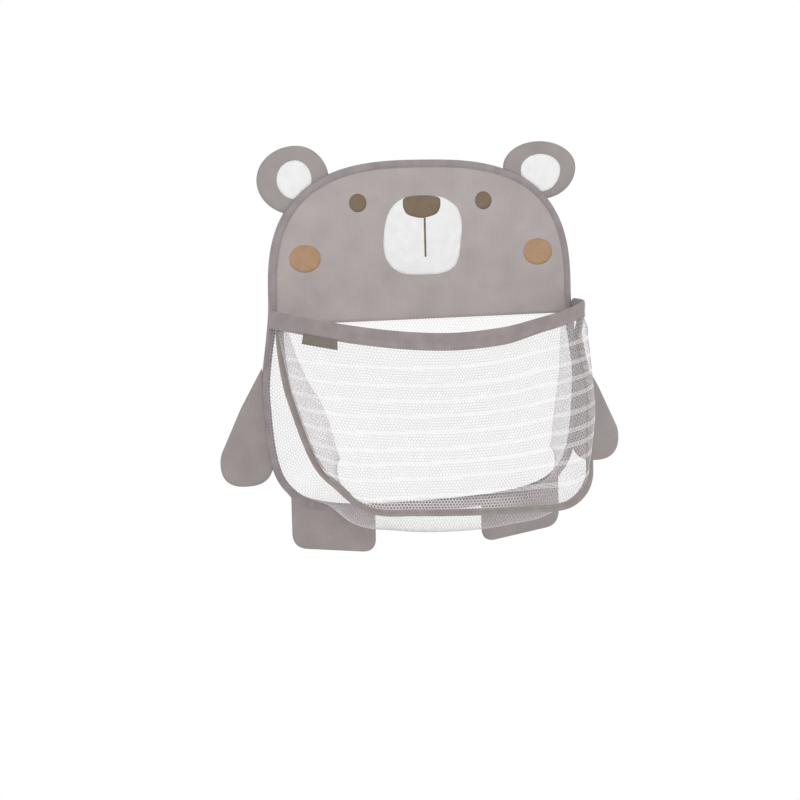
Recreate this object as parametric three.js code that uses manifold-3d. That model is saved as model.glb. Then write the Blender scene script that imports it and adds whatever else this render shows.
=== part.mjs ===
// Bear-shaped bath toy organizer: a padded head over a net pocket, held to a wall by two suction cups.
// Millimetres. +Z is up, the front faces -Y, and y = 0 is the wall. The origin lies midway between the cups.
import * as THREE from "three";
import { mergeVertices } from "three/addons/utils/BufferGeometryUtils.js";
import Module from "manifold-3d";

const wasm = await Module();
wasm.setup();

// Clearances
const fit = 0.3;
const rootGap = 0.9;
const printGap = 0.3;

// Suction cups and eyelets
const cupSpread = 95;
const cupRadius = 22.5;
const cupRimWidth = 4;
const cupRimThick = 1.2;
const cupHeight = 11;
const cupShoulder = 6.5;
const cupHollow = 3.6;
const neckRadius = 3.5;
const knobRadius = 5.5;
const knobThick = 2.6;
const eyeletPlay = 0.5;
const eyeletWall = 0.8;
const eyeletFlange = 3.2;
const eyeletThick = 0.8;

// Cloth layers of the head
const clothThick = 0.8;
const foamThick = 4;
const netThick = 0.8;
const pocketNetThick = 0.6;
const printThick = 0.4;

// Outline of the back panel
const headHalfWidth = 160.2;
const headTop = 59.6;
const headDomeHeight = 133.6;
const headDomeBend = 2.75;
const bodyHalfWidth = 169.5;
const bodyWidestDrop = 91;
const bodyBottomDrop = 214.5;
const flankEase = 30;
const cornerSideInset = 5.5;
const cornerSideDrop = 107;
const cornerFloorReach = 162;
const headLowerDrop = 24.7;
const netTuck = 7.7;

// Binding tape and the wire hoop in its fold
const bindingWidth = 7.4;
const bindingThick = 0.9;
const bodyBindingHalf = 2.6;
const bindingTaper = 26;
const wireRadius = 1;

// Face
const eyeSpread = 66.4;
const eyeRise = 91.9;
const eyeRadius = 8.8;
const cheekInset = 36.8;
const cheekRise = 38.8;
const cheekHalfWidth = 16;
const cheekHalfHeight = 13.5;
const muzzleHalfTop = 21;
const muzzleHalfWidth = 42.3;
const muzzleRise = 19.4;
const muzzleHeight = 77.6;
const muzzleShoulder = [0.86, 0.8];
const muzzleWaist = 0.46;
const muzzleJowl = [0.93, 0.2];
const muzzleChin = [0.6, 0.035];
const muzzleTopDip = 0.02;
const noseHalfWidth = 20;
const noseHeight = 21.3;
const noseDrop = 0.8;
const noseCornerDrop = 2.2;
const noseTopReach = 0.8;
const noseTopDip = 0.2;
const noseFlanks = [[0.93, 0.62], [0.74, 0.33], [0.4, 0.08]];
const mouthWidth = 1.8;
const mouthLength = 38;

// Ears
const earInset = 31.5;
const earDrop = 18.6;
const earHalfWidth = 40;
const earHalfHeight = 33.5;
const earPatchShift = 2;
const earPatchLift = 0.5;
const earPatchRadius = 18.8;
const earPatchSeam = 1.6;

// Arms, each a teardrop
const armApexInset = 0.5;
const armApexDrop = 66;
const armPalmReach = 17;
const armPalmDrop = 155.5;
const armPalmRadius = 26.3;

// Legs, each a flap with two round corners
const legInner = 57;
const legOuter = 143;
const legInnerReach = 41.5;
const legOuterReach = 30;
const legCornerRadius = 15;

// Cloth and interlining of ears, arms and legs
const flapCloth = 0.6;
const flapFoam = 2;
const flapSeam = 3;

// Pocket mouth
const hemHeight = 17;
const hemThick = 2.6;
const hemCloth = 0.6;
const hemDrop = 18.5;
const hemInset = -0.8;
const hemDepth = 87;
const hemBend = 3;
const hemSag = 24;
const hemSagBend = 1.75;
const boningHeight = 9;
const boningThick = 0.7;
const boningTrim = 25;
const hemGrip = 6;

// Front seam tape and gusset, set along the panel's edge from the mouth to the middle of the floor
const seamTapeWidth = 8;
const seamTapeThick = 2;
const seamPlay = 0.5;
const seamTilt = 0.7;
const seamTiltStart = 0.4;
const seamTiltEnd = 0.66;
const pocketKnots = [0, 0.05, 0.24, 0.4, 0.54, 0.68, 0.82, 1];
const seamInsets = [4, 6, 15, 22.5, 23.4, 11.5, 12.5, 12.5];
const seamDepths = [28, 32, 59, 80, 106, 119, 120, 120];
const foldInsets = [13, 15, 46, 48.5, 29, -7, -12, -14.5];
const foldDepths = [13, 16, 46, 55, 56, 58, 63, 65];
const sagInset = -10;
const creaseInset = 12;
const pocketSkew = 8.5;
const skewStart = 0.3;
const skewEnd = 0.6;
const frontBulge = 26;
const frontBulgeBend = 1.5;
const sideBulge = 9;
const sideBulgeBend = 3;
const frontSlip = 0.25;
const gussetSeam = 1;

// Openings of the nets, a plain grid that stands for the knitted mesh
const backOpenings = 12;
const backBar = 4;
const frontOpeningShare = 0.85;

// Label
const labelLength = 33;
const labelHeight = 7.8;
const labelThick = 0.6;
const labelSpread = 143;
const labelLean = 4;

// Facets
const edgeSteps = 56;
const dialSteps = 28;
const muzzleSteps = 22;
const noseSteps = 18;
const earSteps = 36;
const palmSteps = 22;
const toeSteps = 6;
const wireSides = 6;
const sideSteps = 16;
const floorSteps = 12;
const hemEndSteps = 4;
const gussetShares = [0, 0.2, 0.38, 0.47, 0.53, 0.62, 0.8, 1];

// Places along Y, from the wall to the front
const liningBack = -(cupHeight + eyeletPlay + eyeletThick + fit);
const liningFront = liningBack - clothThick;
const foamBack = liningFront - fit;
const foamFront = foamBack - foamThick;
const faceBack = foamFront - fit;
const faceFront = faceBack - clothThick;
const panelY = (foamBack + foamFront) / 2;
const headBindingHalf = (liningBack - faceFront) / 2 + fit + bindingThick;

// Heights
const domeBase = headTop - headDomeHeight;
const bodyWidest = domeBase - bodyWidestDrop;
const bodyBottom = domeBase - bodyBottomDrop;
const headLower = domeBase - headLowerDrop;
const hemEndHeight = domeBase - hemDrop;
const mouthHeight = hemEndHeight - hemHeight / 2 - fit;

// Distances in from the outline
const wireInset = bindingThick + fit + wireRadius;
const panelInset = wireInset + wireRadius + fit;

const root = new THREE.Group();

function paint(color, roughness, metalness = 0) {
  return new THREE.MeshStandardMaterial({ color, roughness, metalness });
}

function place(name, geometry, material) {
  const mesh = new THREE.Mesh(geometry, material);
  mesh.name = name;
  root.add(mesh);
}

const taupeCloth = () => paint(0xada5a3, 0.85);
const taupeTape = () => paint(0x988e8d, 0.85);
const whiteNet = () => paint(0xf3f3f0, 0.8);
const whitePrint = () => paint(0xededed, 0.7);
const brownPrint = () => paint(0x82705f, 0.7);
const peachPrint = () => paint(0xae8c73, 0.7);
const paleFoam = () => paint(0xe8e4da, 0.95);

// A closed geometry as a solid that can be cut.
function solidOf(geometry) {
  const bare = geometry.clone();
  bare.deleteAttribute("normal");
  bare.deleteAttribute("uv");
  const merged = mergeVertices(bare, 1e-4);
  const mesh = new wasm.Mesh({
    numProp: 3,
    vertProperties: new Float32Array(merged.attributes.position.array),
    triVerts: new Uint32Array(merged.index.array),
  });
  return new wasm.Manifold(mesh);
}

function geometryOf(solid) {
  const mesh = solid.getMesh();
  const geometry = new THREE.BufferGeometry();
  geometry.setAttribute("position", new THREE.BufferAttribute(mesh.vertProperties, 3));
  geometry.setIndex(new THREE.BufferAttribute(mesh.triVerts, 1));
  geometry.computeVertexNormals();
  return geometry;
}

// A flat piece of cloth or foam between two planes across Y, from its outline in X and Z.
function flatPiece(outline, back, front) {
  const settings = { depth: back - front, bevelEnabled: false };
  const geometry = new THREE.ExtrudeGeometry(new THREE.Shape(outline), settings);
  geometry.rotateX(Math.PI / 2);
  geometry.translate(0, back, 0);
  return geometry;
}

function turnedPiece(profile, x) {
  const points = profile.map(([radius, y]) => new THREE.Vector2(radius, y));
  const geometry = new THREE.LatheGeometry(points, dialSteps);
  geometry.translate(x, 0, 0);
  return geometry;
}

function roundOutline(x, z, halfWidth, halfHeight, steps) {
  const ellipse = new THREE.EllipseCurve(x, z, halfWidth, halfHeight);
  return ellipse.getSpacedPoints(steps).slice(0, steps);
}

function mirrored(outline) {
  return outline.map((p) => new THREE.Vector2(-p.x, p.y)).reverse();
}

// A symmetric outline from the points of its right half, listed from top to bottom.
function bothHalves(half) {
  const left = mirrored(half).filter((p) => Math.abs(p.x) > 1e-6);
  return [...half, ...left];
}

// Faces round a row of sections, capped at both ends or closed into a ring.
function sweptPiece(sections, flatSection, ring) {
  const count = flatSection.length;
  const points = sections.flat();
  const index = [];
  const spans = ring ? sections.length : sections.length - 1;
  for (let i = 0; i < spans; i += 1) {
    const here = i * count;
    const next = ((i + 1) % sections.length) * count;
    for (let j = 0; j < count; j += 1) {
      const k = (j + 1) % count;
      index.push(here + j, next + j, next + k, here + j, next + k, here + k);
    }
  }
  if (!ring) {
    const last = (sections.length - 1) * count;
    const turn = THREE.ShapeUtils.area(flatSection);
    for (const face of THREE.ShapeUtils.triangulateShape(flatSection, [])) {
      const same = THREE.ShapeUtils.area(face.map((i) => flatSection[i])) * turn > 0;
      const [a, b, c] = same ? face : face.slice().reverse();
      index.push(a, b, c);
      index.push(last + a, last + c, last + b);
    }
  }
  return closedGeometry(points, index);
}

// A thin curved piece from a grid of points on its middle surface. Given a share, blocks of four cells
// from the second row on are open over that share of their width and height.
function sheetPiece(grid, thick, openShare = 0) {
  const rows = grid.length;
  const columns = grid[0].length;
  const points = [];
  for (const side of [0.5, -0.5]) {
    for (let r = 0; r < rows; r += 1) {
      for (let c = 0; c < columns; c += 1) {
        const across = grid[r][Math.min(c + 1, columns - 1)].clone().sub(grid[r][Math.max(c - 1, 0)]);
        const down = grid[Math.min(r + 1, rows - 1)][c].clone().sub(grid[Math.max(r - 1, 0)][c]);
        const normal = across.cross(down).normalize();
        points.push(grid[r][c].clone().addScaledVector(normal, thick * side));
      }
    }
  }
  const at = (side, r, c) => (side * rows + r) * columns + c;
  const index = [];
  const openFrom = openShare > 0 ? 1 : rows;
  for (let r = openFrom; r < rows - 2; r += 2) {
    for (let c = 0; c < columns - 2; c += 2) openBlock(points, index, at, r, c, openShare);
  }
  for (let r = 0; r < Math.min(openFrom, rows - 1); r += 1) {
    for (let c = 0; c < columns - 1; c += 1) {
      index.push(at(0, r, c), at(0, r + 1, c), at(0, r + 1, c + 1));
      index.push(at(0, r, c), at(0, r + 1, c + 1), at(0, r, c + 1));
      index.push(at(1, r, c), at(1, r + 1, c + 1), at(1, r + 1, c));
      index.push(at(1, r, c), at(1, r, c + 1), at(1, r + 1, c + 1));
    }
  }
  const rim = [];
  for (let c = 0; c < columns - 1; c += 1) rim.push([0, c]);
  for (let r = 0; r < rows - 1; r += 1) rim.push([r, columns - 1]);
  for (let c = columns - 1; c > 0; c -= 1) rim.push([rows - 1, c]);
  for (let r = rows - 1; r > 0; r -= 1) rim.push([r, 0]);
  rim.forEach(([r, c], i) => {
    const [nextRow, nextColumn] = rim[(i + 1) % rim.length];
    const a = at(0, r, c);
    const b = at(0, nextRow, nextColumn);
    const d = at(1, r, c);
    const e = at(1, nextRow, nextColumn);
    index.push(a, b, e, a, e, d);
  });
  return closedGeometry(points, index);
}

// A frame of four cells round an opening, on both faces of a sheet, with the walls of the opening.
function openBlock(points, index, at, r, c, openShare) {
  const ring = [[0, 0], [0, 1], [0, 2], [1, 2], [2, 2], [2, 1], [2, 0], [1, 0]];
  const corners = ring.length / 2;
  const firstCorner = points.length;
  const rimAt = (side, k) => {
    const [down, across] = ring[k % ring.length];
    return at(side, r + down, c + across);
  };
  for (const side of [0, 1]) {
    const middle = points[at(side, r + 1, c + 1)];
    for (let k = 0; k < corners; k += 1) {
      points.push(middle.clone().lerp(points[rimAt(side, 2 * k)], openShare));
    }
  }
  for (let k = 0; k < corners; k += 1) {
    const next = (k + 1) % corners;
    for (const side of [0, 1]) {
      const a = rimAt(side, 2 * k);
      const b = rimAt(side, 2 * k + 1);
      const d = rimAt(side, 2 * k + 2);
      const here = firstCorner + corners * side + k;
      const there = firstCorner + corners * side + next;
      const faces = [a, here, b, b, here, there, b, there, d];
      index.push(...(side === 0 ? faces : faces.reverse()));
    }
    const near = firstCorner + k;
    const nearNext = firstCorner + next;
    const far = near + corners;
    const farNext = nearNext + corners;
    index.push(nearNext, near, far, nearNext, far, farNext);
  }
}

// Turns the faces outwards if the enclosed volume comes out negative.
function closedGeometry(points, index) {
  let volume = 0;
  for (let i = 0; i < index.length; i += 3) {
    const [a, b, c] = [points[index[i]], points[index[i + 1]], points[index[i + 2]]];
    volume += a.dot(b.clone().cross(c));
  }
  const order = volume < 0 ? index.slice().reverse() : index;
  const geometry = new THREE.BufferGeometry().setFromPoints(points);
  geometry.setIndex(order);
  geometry.computeVertexNormals();
  return geometry;
}

// A smooth value at t through values set at knots.
function valueAt(values, t) {
  let i = 0;
  while (i < pocketKnots.length - 2 && t > pocketKnots[i + 1]) i += 1;
  const span = pocketKnots[i + 1] - pocketKnots[i];
  const slope = (k) => {
    const before = Math.max(k - 1, 0);
    const after = Math.min(k + 1, pocketKnots.length - 1);
    return (values[after] - values[before]) / (pocketKnots[after] - pocketKnots[before]);
  };
  const s = (t - pocketKnots[i]) / span;
  const startSlope = slope(i) * span;
  const endSlope = i + 1 === pocketKnots.length - 1 ? 0 : slope(i + 1) * span;
  const a = 2 * s ** 3 - 3 * s ** 2 + 1;
  const b = s ** 3 - 2 * s ** 2 + s;
  const c = -2 * s ** 3 + 3 * s ** 2;
  const d = s ** 3 - s ** 2;
  return a * values[i] + b * startSlope + c * values[i + 1] + d * endSlope;
}

// The right half of the back panel's outline, from the top of the head to the middle of the floor.
function halfOutline() {
  const steps = 90;
  const power = 2 / headDomeBend;
  const points = [];
  for (let i = 0; i < steps; i += 1) {
    const angle = ((1 - i / steps) * Math.PI) / 2;
    const x = headHalfWidth * Math.cos(angle) ** power;
    points.push(new THREE.Vector2(i === 0 ? 0 : x, domeBase + headDomeHeight * Math.sin(angle) ** power));
  }
  const base = new THREE.Vector2(headHalfWidth, domeBase);
  const widest = new THREE.Vector2(bodyHalfWidth, bodyWidest);
  const flank = new THREE.CubicBezierCurve(
    base,
    new THREE.Vector2(headHalfWidth, domeBase - flankEase),
    new THREE.Vector2(bodyHalfWidth, bodyWidest + flankEase),
    widest,
  );
  const floor = new THREE.CubicBezierCurve(
    widest,
    new THREE.Vector2(bodyHalfWidth - cornerSideInset, bodyWidest - cornerSideDrop),
    new THREE.Vector2(cornerFloorReach, bodyBottom),
    new THREE.Vector2(0, bodyBottom),
  );
  points.push(...flank.getPoints(steps).slice(0, steps));
  points.push(...floor.getPoints(steps));
  return points;
}

const outline = halfOutline();
const outlineRun = [0];
for (let i = 1; i < outline.length; i += 1) {
  outlineRun.push(outlineRun[i - 1] + outline[i].distanceTo(outline[i - 1]));
}
const outlineLength = outlineRun[outlineRun.length - 1];

// The point of the outline at a run from the top, and the direction out of the panel there.
function edgeAt(run) {
  let i = 0;
  while (i < outline.length - 2 && outlineRun[i + 1] < run) i += 1;
  const share = (run - outlineRun[i]) / (outlineRun[i + 1] - outlineRun[i]);
  const point = outline[i].clone().lerp(outline[i + 1], share);
  const before = outline[Math.max(i - 1, 0)];
  const after = outline[Math.min(i + 2, outline.length - 1)];
  const along = after.clone().sub(before).normalize();
  const out = new THREE.Vector2(-along.y, along.x).negate();
  if (run <= 0) out.set(0, 1);
  if (run >= outlineLength) out.set(0, -1);
  if (out.dot(point.clone().sub(new THREE.Vector2(0, domeBase))) < 0) out.negate();
  return { point, out };
}

function runAtHeight(height) {
  let i = outline.length - 2;
  while (i > 0 && outline[i].y < height) i -= 1;
  const share = (outline[i].y - height) / (outline[i].y - outline[i + 1].y);
  return outlineRun[i] + share * (outlineRun[i + 1] - outlineRun[i]);
}

function insetPoint(run, inset) {
  const { point, out } = edgeAt(run);
  point.addScaledVector(out, -inset);
  if (Math.abs(point.x) < 0.05) point.x = 0;
  return point;
}

// The outline, moved in by inset, between two runs on the right half.
function insetHalf(inset, from, to, steps) {
  const points = [];
  for (let i = 0; i <= steps; i += 1) points.push(insetPoint(from + ((to - from) * i) / steps, inset));
  return points;
}

function insetLoop(inset) {
  return bothHalves(insetHalf(inset, 0, outlineLength, edgeSteps));
}

// The part of the inset outline above or below a straight edge at a height.
function insetAbove(inset, height) {
  const half = insetHalf(inset, 0, runAtHeight(height), edgeSteps / 2);
  half[half.length - 1].y = height;
  return bothHalves(half);
}

function insetBelow(inset, height) {
  const half = insetHalf(inset, runAtHeight(height), outlineLength, edgeSteps / 2);
  half[0].y = height;
  return bothHalves(half);
}

// Binding: a folded tape round the edge, thicker at the padded head.
function bindingHalfAt(height) {
  const share = THREE.MathUtils.smoothstep(headLower - height, 0, bindingTaper);
  return headBindingHalf + (bodyBindingHalf - headBindingHalf) * share;
}

function ringSections(sectionAt) {
  const sections = [];
  const count = edgeSteps * 2;
  for (let i = 0; i < count; i += 1) {
    const right = i <= edgeSteps;
    const run = ((right ? i : count - i) / edgeSteps) * outlineLength;
    const { point, out } = edgeAt(run);
    const side = right ? 1 : -1;
    const section = sectionAt(point.y).map(
      (p) => new THREE.Vector3(side * (point.x - out.x * p.x), panelY + p.y, point.y - out.y * p.x),
    );
    sections.push(section);
  }
  return sections;
}

function bindingSection(height) {
  const half = bindingHalfAt(height);
  const inner = half - bindingThick;
  return [
    new THREE.Vector2(0, -half),
    new THREE.Vector2(bindingWidth, -half),
    new THREE.Vector2(bindingWidth, -inner),
    new THREE.Vector2(bindingThick, -inner),
    new THREE.Vector2(bindingThick, inner),
    new THREE.Vector2(bindingWidth, inner),
    new THREE.Vector2(bindingWidth, half),
    new THREE.Vector2(0, half),
  ];
}

function wireSection() {
  return roundOutline(wireInset, 0, wireRadius, wireRadius, wireSides);
}

place("body_binding", sweptPiece(ringSections(bindingSection), bindingSection(0), true), taupeTape());
place("frame_wire", sweptPiece(ringSections(wireSection), wireSection(), true), paint(0x9a9da0, 0.4, 1));

// Head: face cloth, foam pad and back lining. The pad leaves room for the cup knobs.
const eyeletBore = neckRadius + eyeletPlay;
const eyeletTube = eyeletBore + eyeletWall;
const eyeletRim = eyeletTube + eyeletFlange;
const knobRecess = eyeletRim + fit;

function drilled(geometry, radius) {
  let solid = solidOf(geometry);
  for (const side of [-1, 1]) {
    const hole = new THREE.CylinderGeometry(radius, radius, 4 * foamThick, dialSteps);
    hole.translate(side * cupSpread, panelY, 0);
    solid = solid.subtract(solidOf(hole));
  }
  return geometryOf(solid);
}

const netTop = headLower + netTuck;
const foamLower = netTop + fit;
place("head_face_panel", flatPiece(insetAbove(panelInset, headLower), faceBack, faceFront), taupeCloth());
const padBlank = flatPiece(insetAbove(panelInset, foamLower), foamBack, foamFront);
place("head_foam_pad", drilled(padBlank, knobRecess), paleFoam());
const liningBlank = flatPiece(insetAbove(panelInset, headLower), liningBack, liningFront);
place("head_back_lining", drilled(liningBlank, eyeletTube + fit), taupeCloth());

// Back net of the lower body, tucked up between the layers of the head.
function surrounds(loop, point) {
  let inside = false;
  loop.forEach((a, i) => {
    const b = loop[(i + 1) % loop.length];
    const crosses = a.y > point.y !== b.y > point.y;
    if (crosses && point.x < a.x + ((b.x - a.x) * (point.y - a.y)) / (b.y - a.y)) inside = !inside;
  });
  return inside;
}

// Square openings that lie wholly within the net.
function backGrid() {
  const pitch = (2 * (bodyHalfWidth - bindingWidth)) / backOpenings;
  const half = (pitch - backBar) / 2;
  const rows = Math.floor((netTop - bodyBottom) / pitch);
  const clear = insetBelow(bindingWidth, headLower);
  const openings = [];
  for (let r = 0; r < rows; r += 1) {
    const z = headLower - backBar - pitch * (r + 0.5);
    for (let c = 0; c < backOpenings; c += 1) {
      const x = pitch * (c + 0.5 - backOpenings / 2);
      const corners = [[-half, -half], [half, -half], [half, half], [-half, half]];
      const points = corners.map(([across, up]) => new THREE.Vector2(x + across, z + up));
      if (points.every((point) => surrounds(clear, point))) openings.push(points);
    }
  }
  return openings;
}

const netOutline = insetBelow(panelInset, netTop);
const backBlank = solidOf(flatPiece(netOutline, panelY + netThick / 2, panelY - netThick / 2));
const punches = backGrid().map((points) => solidOf(flatPiece(points, panelY + netThick, panelY - netThick)));
place("back_net_panel", geometryOf(backBlank.subtract(wasm.Manifold.union(punches))), whiteNet());

// Eyelets and suction cups
const eyeletBack = liningBack + fit + eyeletThick;
const eyeletFront = liningFront - fit - eyeletThick;
const eyeletProfile = [
  [eyeletBore, eyeletFront],
  [eyeletRim, eyeletFront],
  [eyeletRim, eyeletFront + eyeletThick],
  [eyeletTube, eyeletFront + eyeletThick],
  [eyeletTube, eyeletBack - eyeletThick],
  [eyeletRim, eyeletBack - eyeletThick],
  [eyeletRim, eyeletBack],
  [eyeletBore, eyeletBack],
  [eyeletBore, eyeletFront],
];
const knobBack = eyeletFront - fit;
const knobFront = knobBack - knobThick;
const knobBevel = knobThick / 3;
const cupLip = cupRadius - cupRimWidth;
const cupProfile = [
  [0, knobFront],
  [knobRadius - knobBevel, knobFront],
  [knobRadius, knobFront + knobBevel],
  [knobRadius, knobBack],
  [neckRadius, knobBack],
  [neckRadius, -cupHeight],
  [cupShoulder, -cupHeight],
  [cupShoulder + cupRimThick, -cupHeight + cupRimThick],
  [(cupShoulder + cupLip) / 2, -cupHeight / 2],
  [cupLip, -cupRimThick * 1.6],
  [cupRadius, -cupRimThick],
  [cupRadius, 0],
  [cupLip, 0],
  [cupLip / 2, -cupHollow * 0.75],
  [0, -cupHollow],
];
for (const [name, side] of [["left", -1], ["right", 1]]) {
  place(`${name}_eyelet`, turnedPiece(eyeletProfile, side * cupSpread), paint(0xb9bcc0, 0.3, 1));
  place(`${name}_suction_cup`, turnedPiece(cupProfile, side * cupSpread), paint(0xe6edf0, 0.15));
}

// Face pieces, thin films on the face cloth
function film(name, points, layer, material) {
  const back = faceFront - printGap - layer * (printThick + printGap);
  place(name, flatPiece(points, back, back - printThick), material);
}

function smoothHalf(points, steps) {
  const curve = new THREE.SplineCurve(points.map(([x, z]) => new THREE.Vector2(x, z)));
  const half = curve.getSpacedPoints(steps);
  half[0].x = 0;
  half[half.length - 1].x = 0;
  return bothHalves(half);
}

const faceBase = domeBase;
const muzzleBottom = faceBase + muzzleRise;
const muzzleTop = muzzleBottom + muzzleHeight;
const muzzleOutline = smoothHalf(
  [
    [0, muzzleTop],
    [muzzleHalfTop, muzzleTop - muzzleHeight * muzzleTopDip],
    [muzzleHalfWidth * muzzleShoulder[0], muzzleBottom + muzzleHeight * muzzleShoulder[1]],
    [muzzleHalfWidth, muzzleBottom + muzzleHeight * muzzleWaist],
    [muzzleHalfWidth * muzzleJowl[0], muzzleBottom + muzzleHeight * muzzleJowl[1]],
    [muzzleHalfWidth * muzzleChin[0], muzzleBottom + muzzleHeight * muzzleChin[1]],
    [0, muzzleBottom],
  ],
  muzzleSteps,
);
film("muzzle_patch", muzzleOutline, 0, whitePrint());
const noseTop = muzzleTop - noseDrop;
const noseTip = noseTop - noseHeight;
const noseOutline = smoothHalf(
  [
    [0, noseTop],
    [noseHalfWidth * noseTopReach, noseTop - noseTopDip],
    [noseHalfWidth, noseTop - noseCornerDrop],
    ...noseFlanks.map(([out, up]) => [noseHalfWidth * out, noseTip + noseHeight * up]),
    [0, noseTip],
  ],
  noseSteps,
);
film("nose_patch", noseOutline, 1, brownPrint());
const mouthTop = noseTip - fit;
const mouthOutline = [
  new THREE.Vector2(mouthWidth / 2, mouthTop),
  new THREE.Vector2(mouthWidth / 2, mouthTop - mouthLength),
  new THREE.Vector2(-mouthWidth / 2, mouthTop - mouthLength),
  new THREE.Vector2(-mouthWidth / 2, mouthTop),
];
film("mouth_line", mouthOutline, 1, brownPrint());
for (const [name, side] of [["left", -1], ["right", 1]]) {
  const eye = roundOutline(side * eyeSpread, faceBase + eyeRise, eyeRadius, eyeRadius, dialSteps);
  film(`${name}_eye`, eye, 0, brownPrint());
  const cheekX = side * (headHalfWidth - cheekInset);
  const cheek = roundOutline(cheekX, faceBase + cheekRise, cheekHalfWidth, cheekHalfHeight, dialSteps);
  film(`${name}_cheek`, cheek, 0, peachPrint());
}

// Ears, arms and legs: a front cloth with a turned-in rim, an interlining and a back cloth.
// Each is its full shape less the panel, so that its root follows the edge of the binding.
const flapHalf = flapFoam / 2 + fit + flapCloth;
const panelBlock = (gap) => solidOf(flatPiece(insetLoop(-gap), panelY + 3 * flapHalf, panelY - 3 * flapHalf));
const rootCut = panelBlock(rootGap);
const coreCut = panelBlock(rootGap + flapSeam);

function shrunk(points, distance) {
  const count = points.length;
  return points.map((p, i) => {
    const before = points[(i + count - 1) % count];
    const after = points[(i + 1) % count];
    const along = after.clone().sub(before).normalize();
    return p.clone().add(new THREE.Vector2(-along.y, along.x).multiplyScalar(distance));
  });
}

function flap(name, shape) {
  const points = THREE.ShapeUtils.isClockWise(shape) ? shape.slice().reverse() : shape;
  const front = panelY - flapHalf;
  const back = panelY + flapHalf;
  const hollow = solidOf(flatPiece(shrunk(points, flapSeam - fit), back + flapHalf, front + flapCloth));
  const lid = panelBlock(rootGap + flapSeam - fit);
  const cover = solidOf(flatPiece(points, back, front)).subtract(rootCut).subtract(hollow.subtract(lid));
  const core = solidOf(flatPiece(shrunk(points, flapSeam), panelY + flapFoam / 2, panelY - flapFoam / 2));
  const cloth = solidOf(flatPiece(shrunk(points, flapSeam), back, back - flapCloth));
  place(`${name}_cover`, geometryOf(cover), taupeCloth());
  place(`${name}_interlining`, geometryOf(core.subtract(coreCut)), paleFoam());
  place(`${name}_backing`, geometryOf(cloth.subtract(coreCut)), taupeCloth());
}

function armOutline() {
  const apex = new THREE.Vector2(bodyHalfWidth - armApexInset, faceBase - armApexDrop);
  const palm = new THREE.Vector2(bodyHalfWidth + armPalmReach, faceBase - armPalmDrop);
  const reach = apex.clone().sub(palm);
  const spread = Math.acos(armPalmRadius / reach.length());
  const lean = Math.atan2(reach.y, reach.x);
  const points = [apex];
  for (let i = 0; i <= palmSteps; i += 1) {
    const angle = lean + spread + ((2 * Math.PI - 2 * spread) * i) / palmSteps;
    points.push(new THREE.Vector2(Math.cos(angle), Math.sin(angle)).multiplyScalar(armPalmRadius).add(palm));
  }
  return points;
}

// A foot: straight sides up to the panel, round corners below, the outer one higher.
function legOutline() {
  const top = bodyBottom + 2 * legCornerRadius + cornerSideInset;
  const low = [
    new THREE.Vector2(legInner, bodyBottom - legInnerReach),
    new THREE.Vector2(legOuter, bodyBottom - legOuterReach),
  ];
  const sole = low[1].clone().sub(low[0]).normalize();
  const inside = new THREE.QuadraticBezierCurve(
    low[0].clone().add(new THREE.Vector2(0, legCornerRadius)),
    low[0],
    low[0].clone().addScaledVector(sole, legCornerRadius),
  );
  const outside = new THREE.QuadraticBezierCurve(
    low[1].clone().addScaledVector(sole, -legCornerRadius),
    low[1],
    low[1].clone().add(new THREE.Vector2(0, legCornerRadius)),
  );
  return [
    new THREE.Vector2(legInner, top),
    ...inside.getPoints(toeSteps),
    ...outside.getPoints(toeSteps),
    new THREE.Vector2(legOuter, top),
  ];
}

const earX = headHalfWidth - earInset;
const earZ = headTop - earDrop;
const patchX = earX + earPatchShift;
const patchZ = earZ + earPatchLift;
const earOutline = roundOutline(earX, earZ, earHalfWidth, earHalfHeight, earSteps);
const earPatchOutline = roundOutline(patchX, patchZ, earPatchRadius, earPatchRadius, dialSteps);
for (const [name, side] of [["left", -1], ["right", 1]]) {
  const sided = (points) => (side > 0 ? points : mirrored(points));
  flap(`${name}_ear`, sided(earOutline));
  flap(`${name}_arm`, sided(armOutline()));
  flap(`${name}_leg`, sided(legOutline()));
  const patchBack = panelY - flapHalf - printGap;
  const patch = solidOf(flatPiece(sided(earPatchOutline), patchBack, patchBack - printThick));
  place(`${name}_ear_patch`, geometryOf(patch.subtract(panelBlock(rootGap + earPatchSeam))), whitePrint());
}

// Pocket. t runs along the panel's edge from the mouth, 0, to the middle of the floor, 1.
const mouthRun = runAtHeight(mouthHeight);

function pocketPoint(side, t, inset, depth) {
  const point = insetPoint(mouthRun + (outlineLength - mouthRun) * t, inset);
  return new THREE.Vector3(side * point.x, panelY - depth, point.y);
}

// The pocket hangs a little uneven: lower on the right and higher on the left, the more the further forward.
function hangAskew(point, t) {
  const reach = (panelY - point.y) / seamDepths[seamDepths.length - 1];
  const low = THREE.MathUtils.smoothstep(t, skewStart, skewEnd);
  point.z -= pocketSkew * (point.x / bodyHalfWidth) * reach * low;
  return point;
}

// Hem: a tape folded over the top of the front net. It leaves the binding forwards and turns across.
const hemEndInset = hemInset + hemThick / 2;
const hemHalf = insetPoint(runAtHeight(hemEndHeight), hemEndInset).x;
const hemRound = hemHeight / 2;
const hemStart = headBindingHalf + fit;

function hemAt(angle) {
  const power = 2 / hemBend;
  const x = hemHalf * Math.sign(Math.cos(angle)) * Math.abs(Math.cos(angle)) ** power;
  const depth = hemStart + (hemDepth - hemStart) * Math.sin(angle) ** power;
  const drop = hemSag * (1 - Math.abs(x / hemHalf) ** hemSagBend);
  return new THREE.Vector3(x, panelY - depth, hemEndHeight - drop);
}

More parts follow.
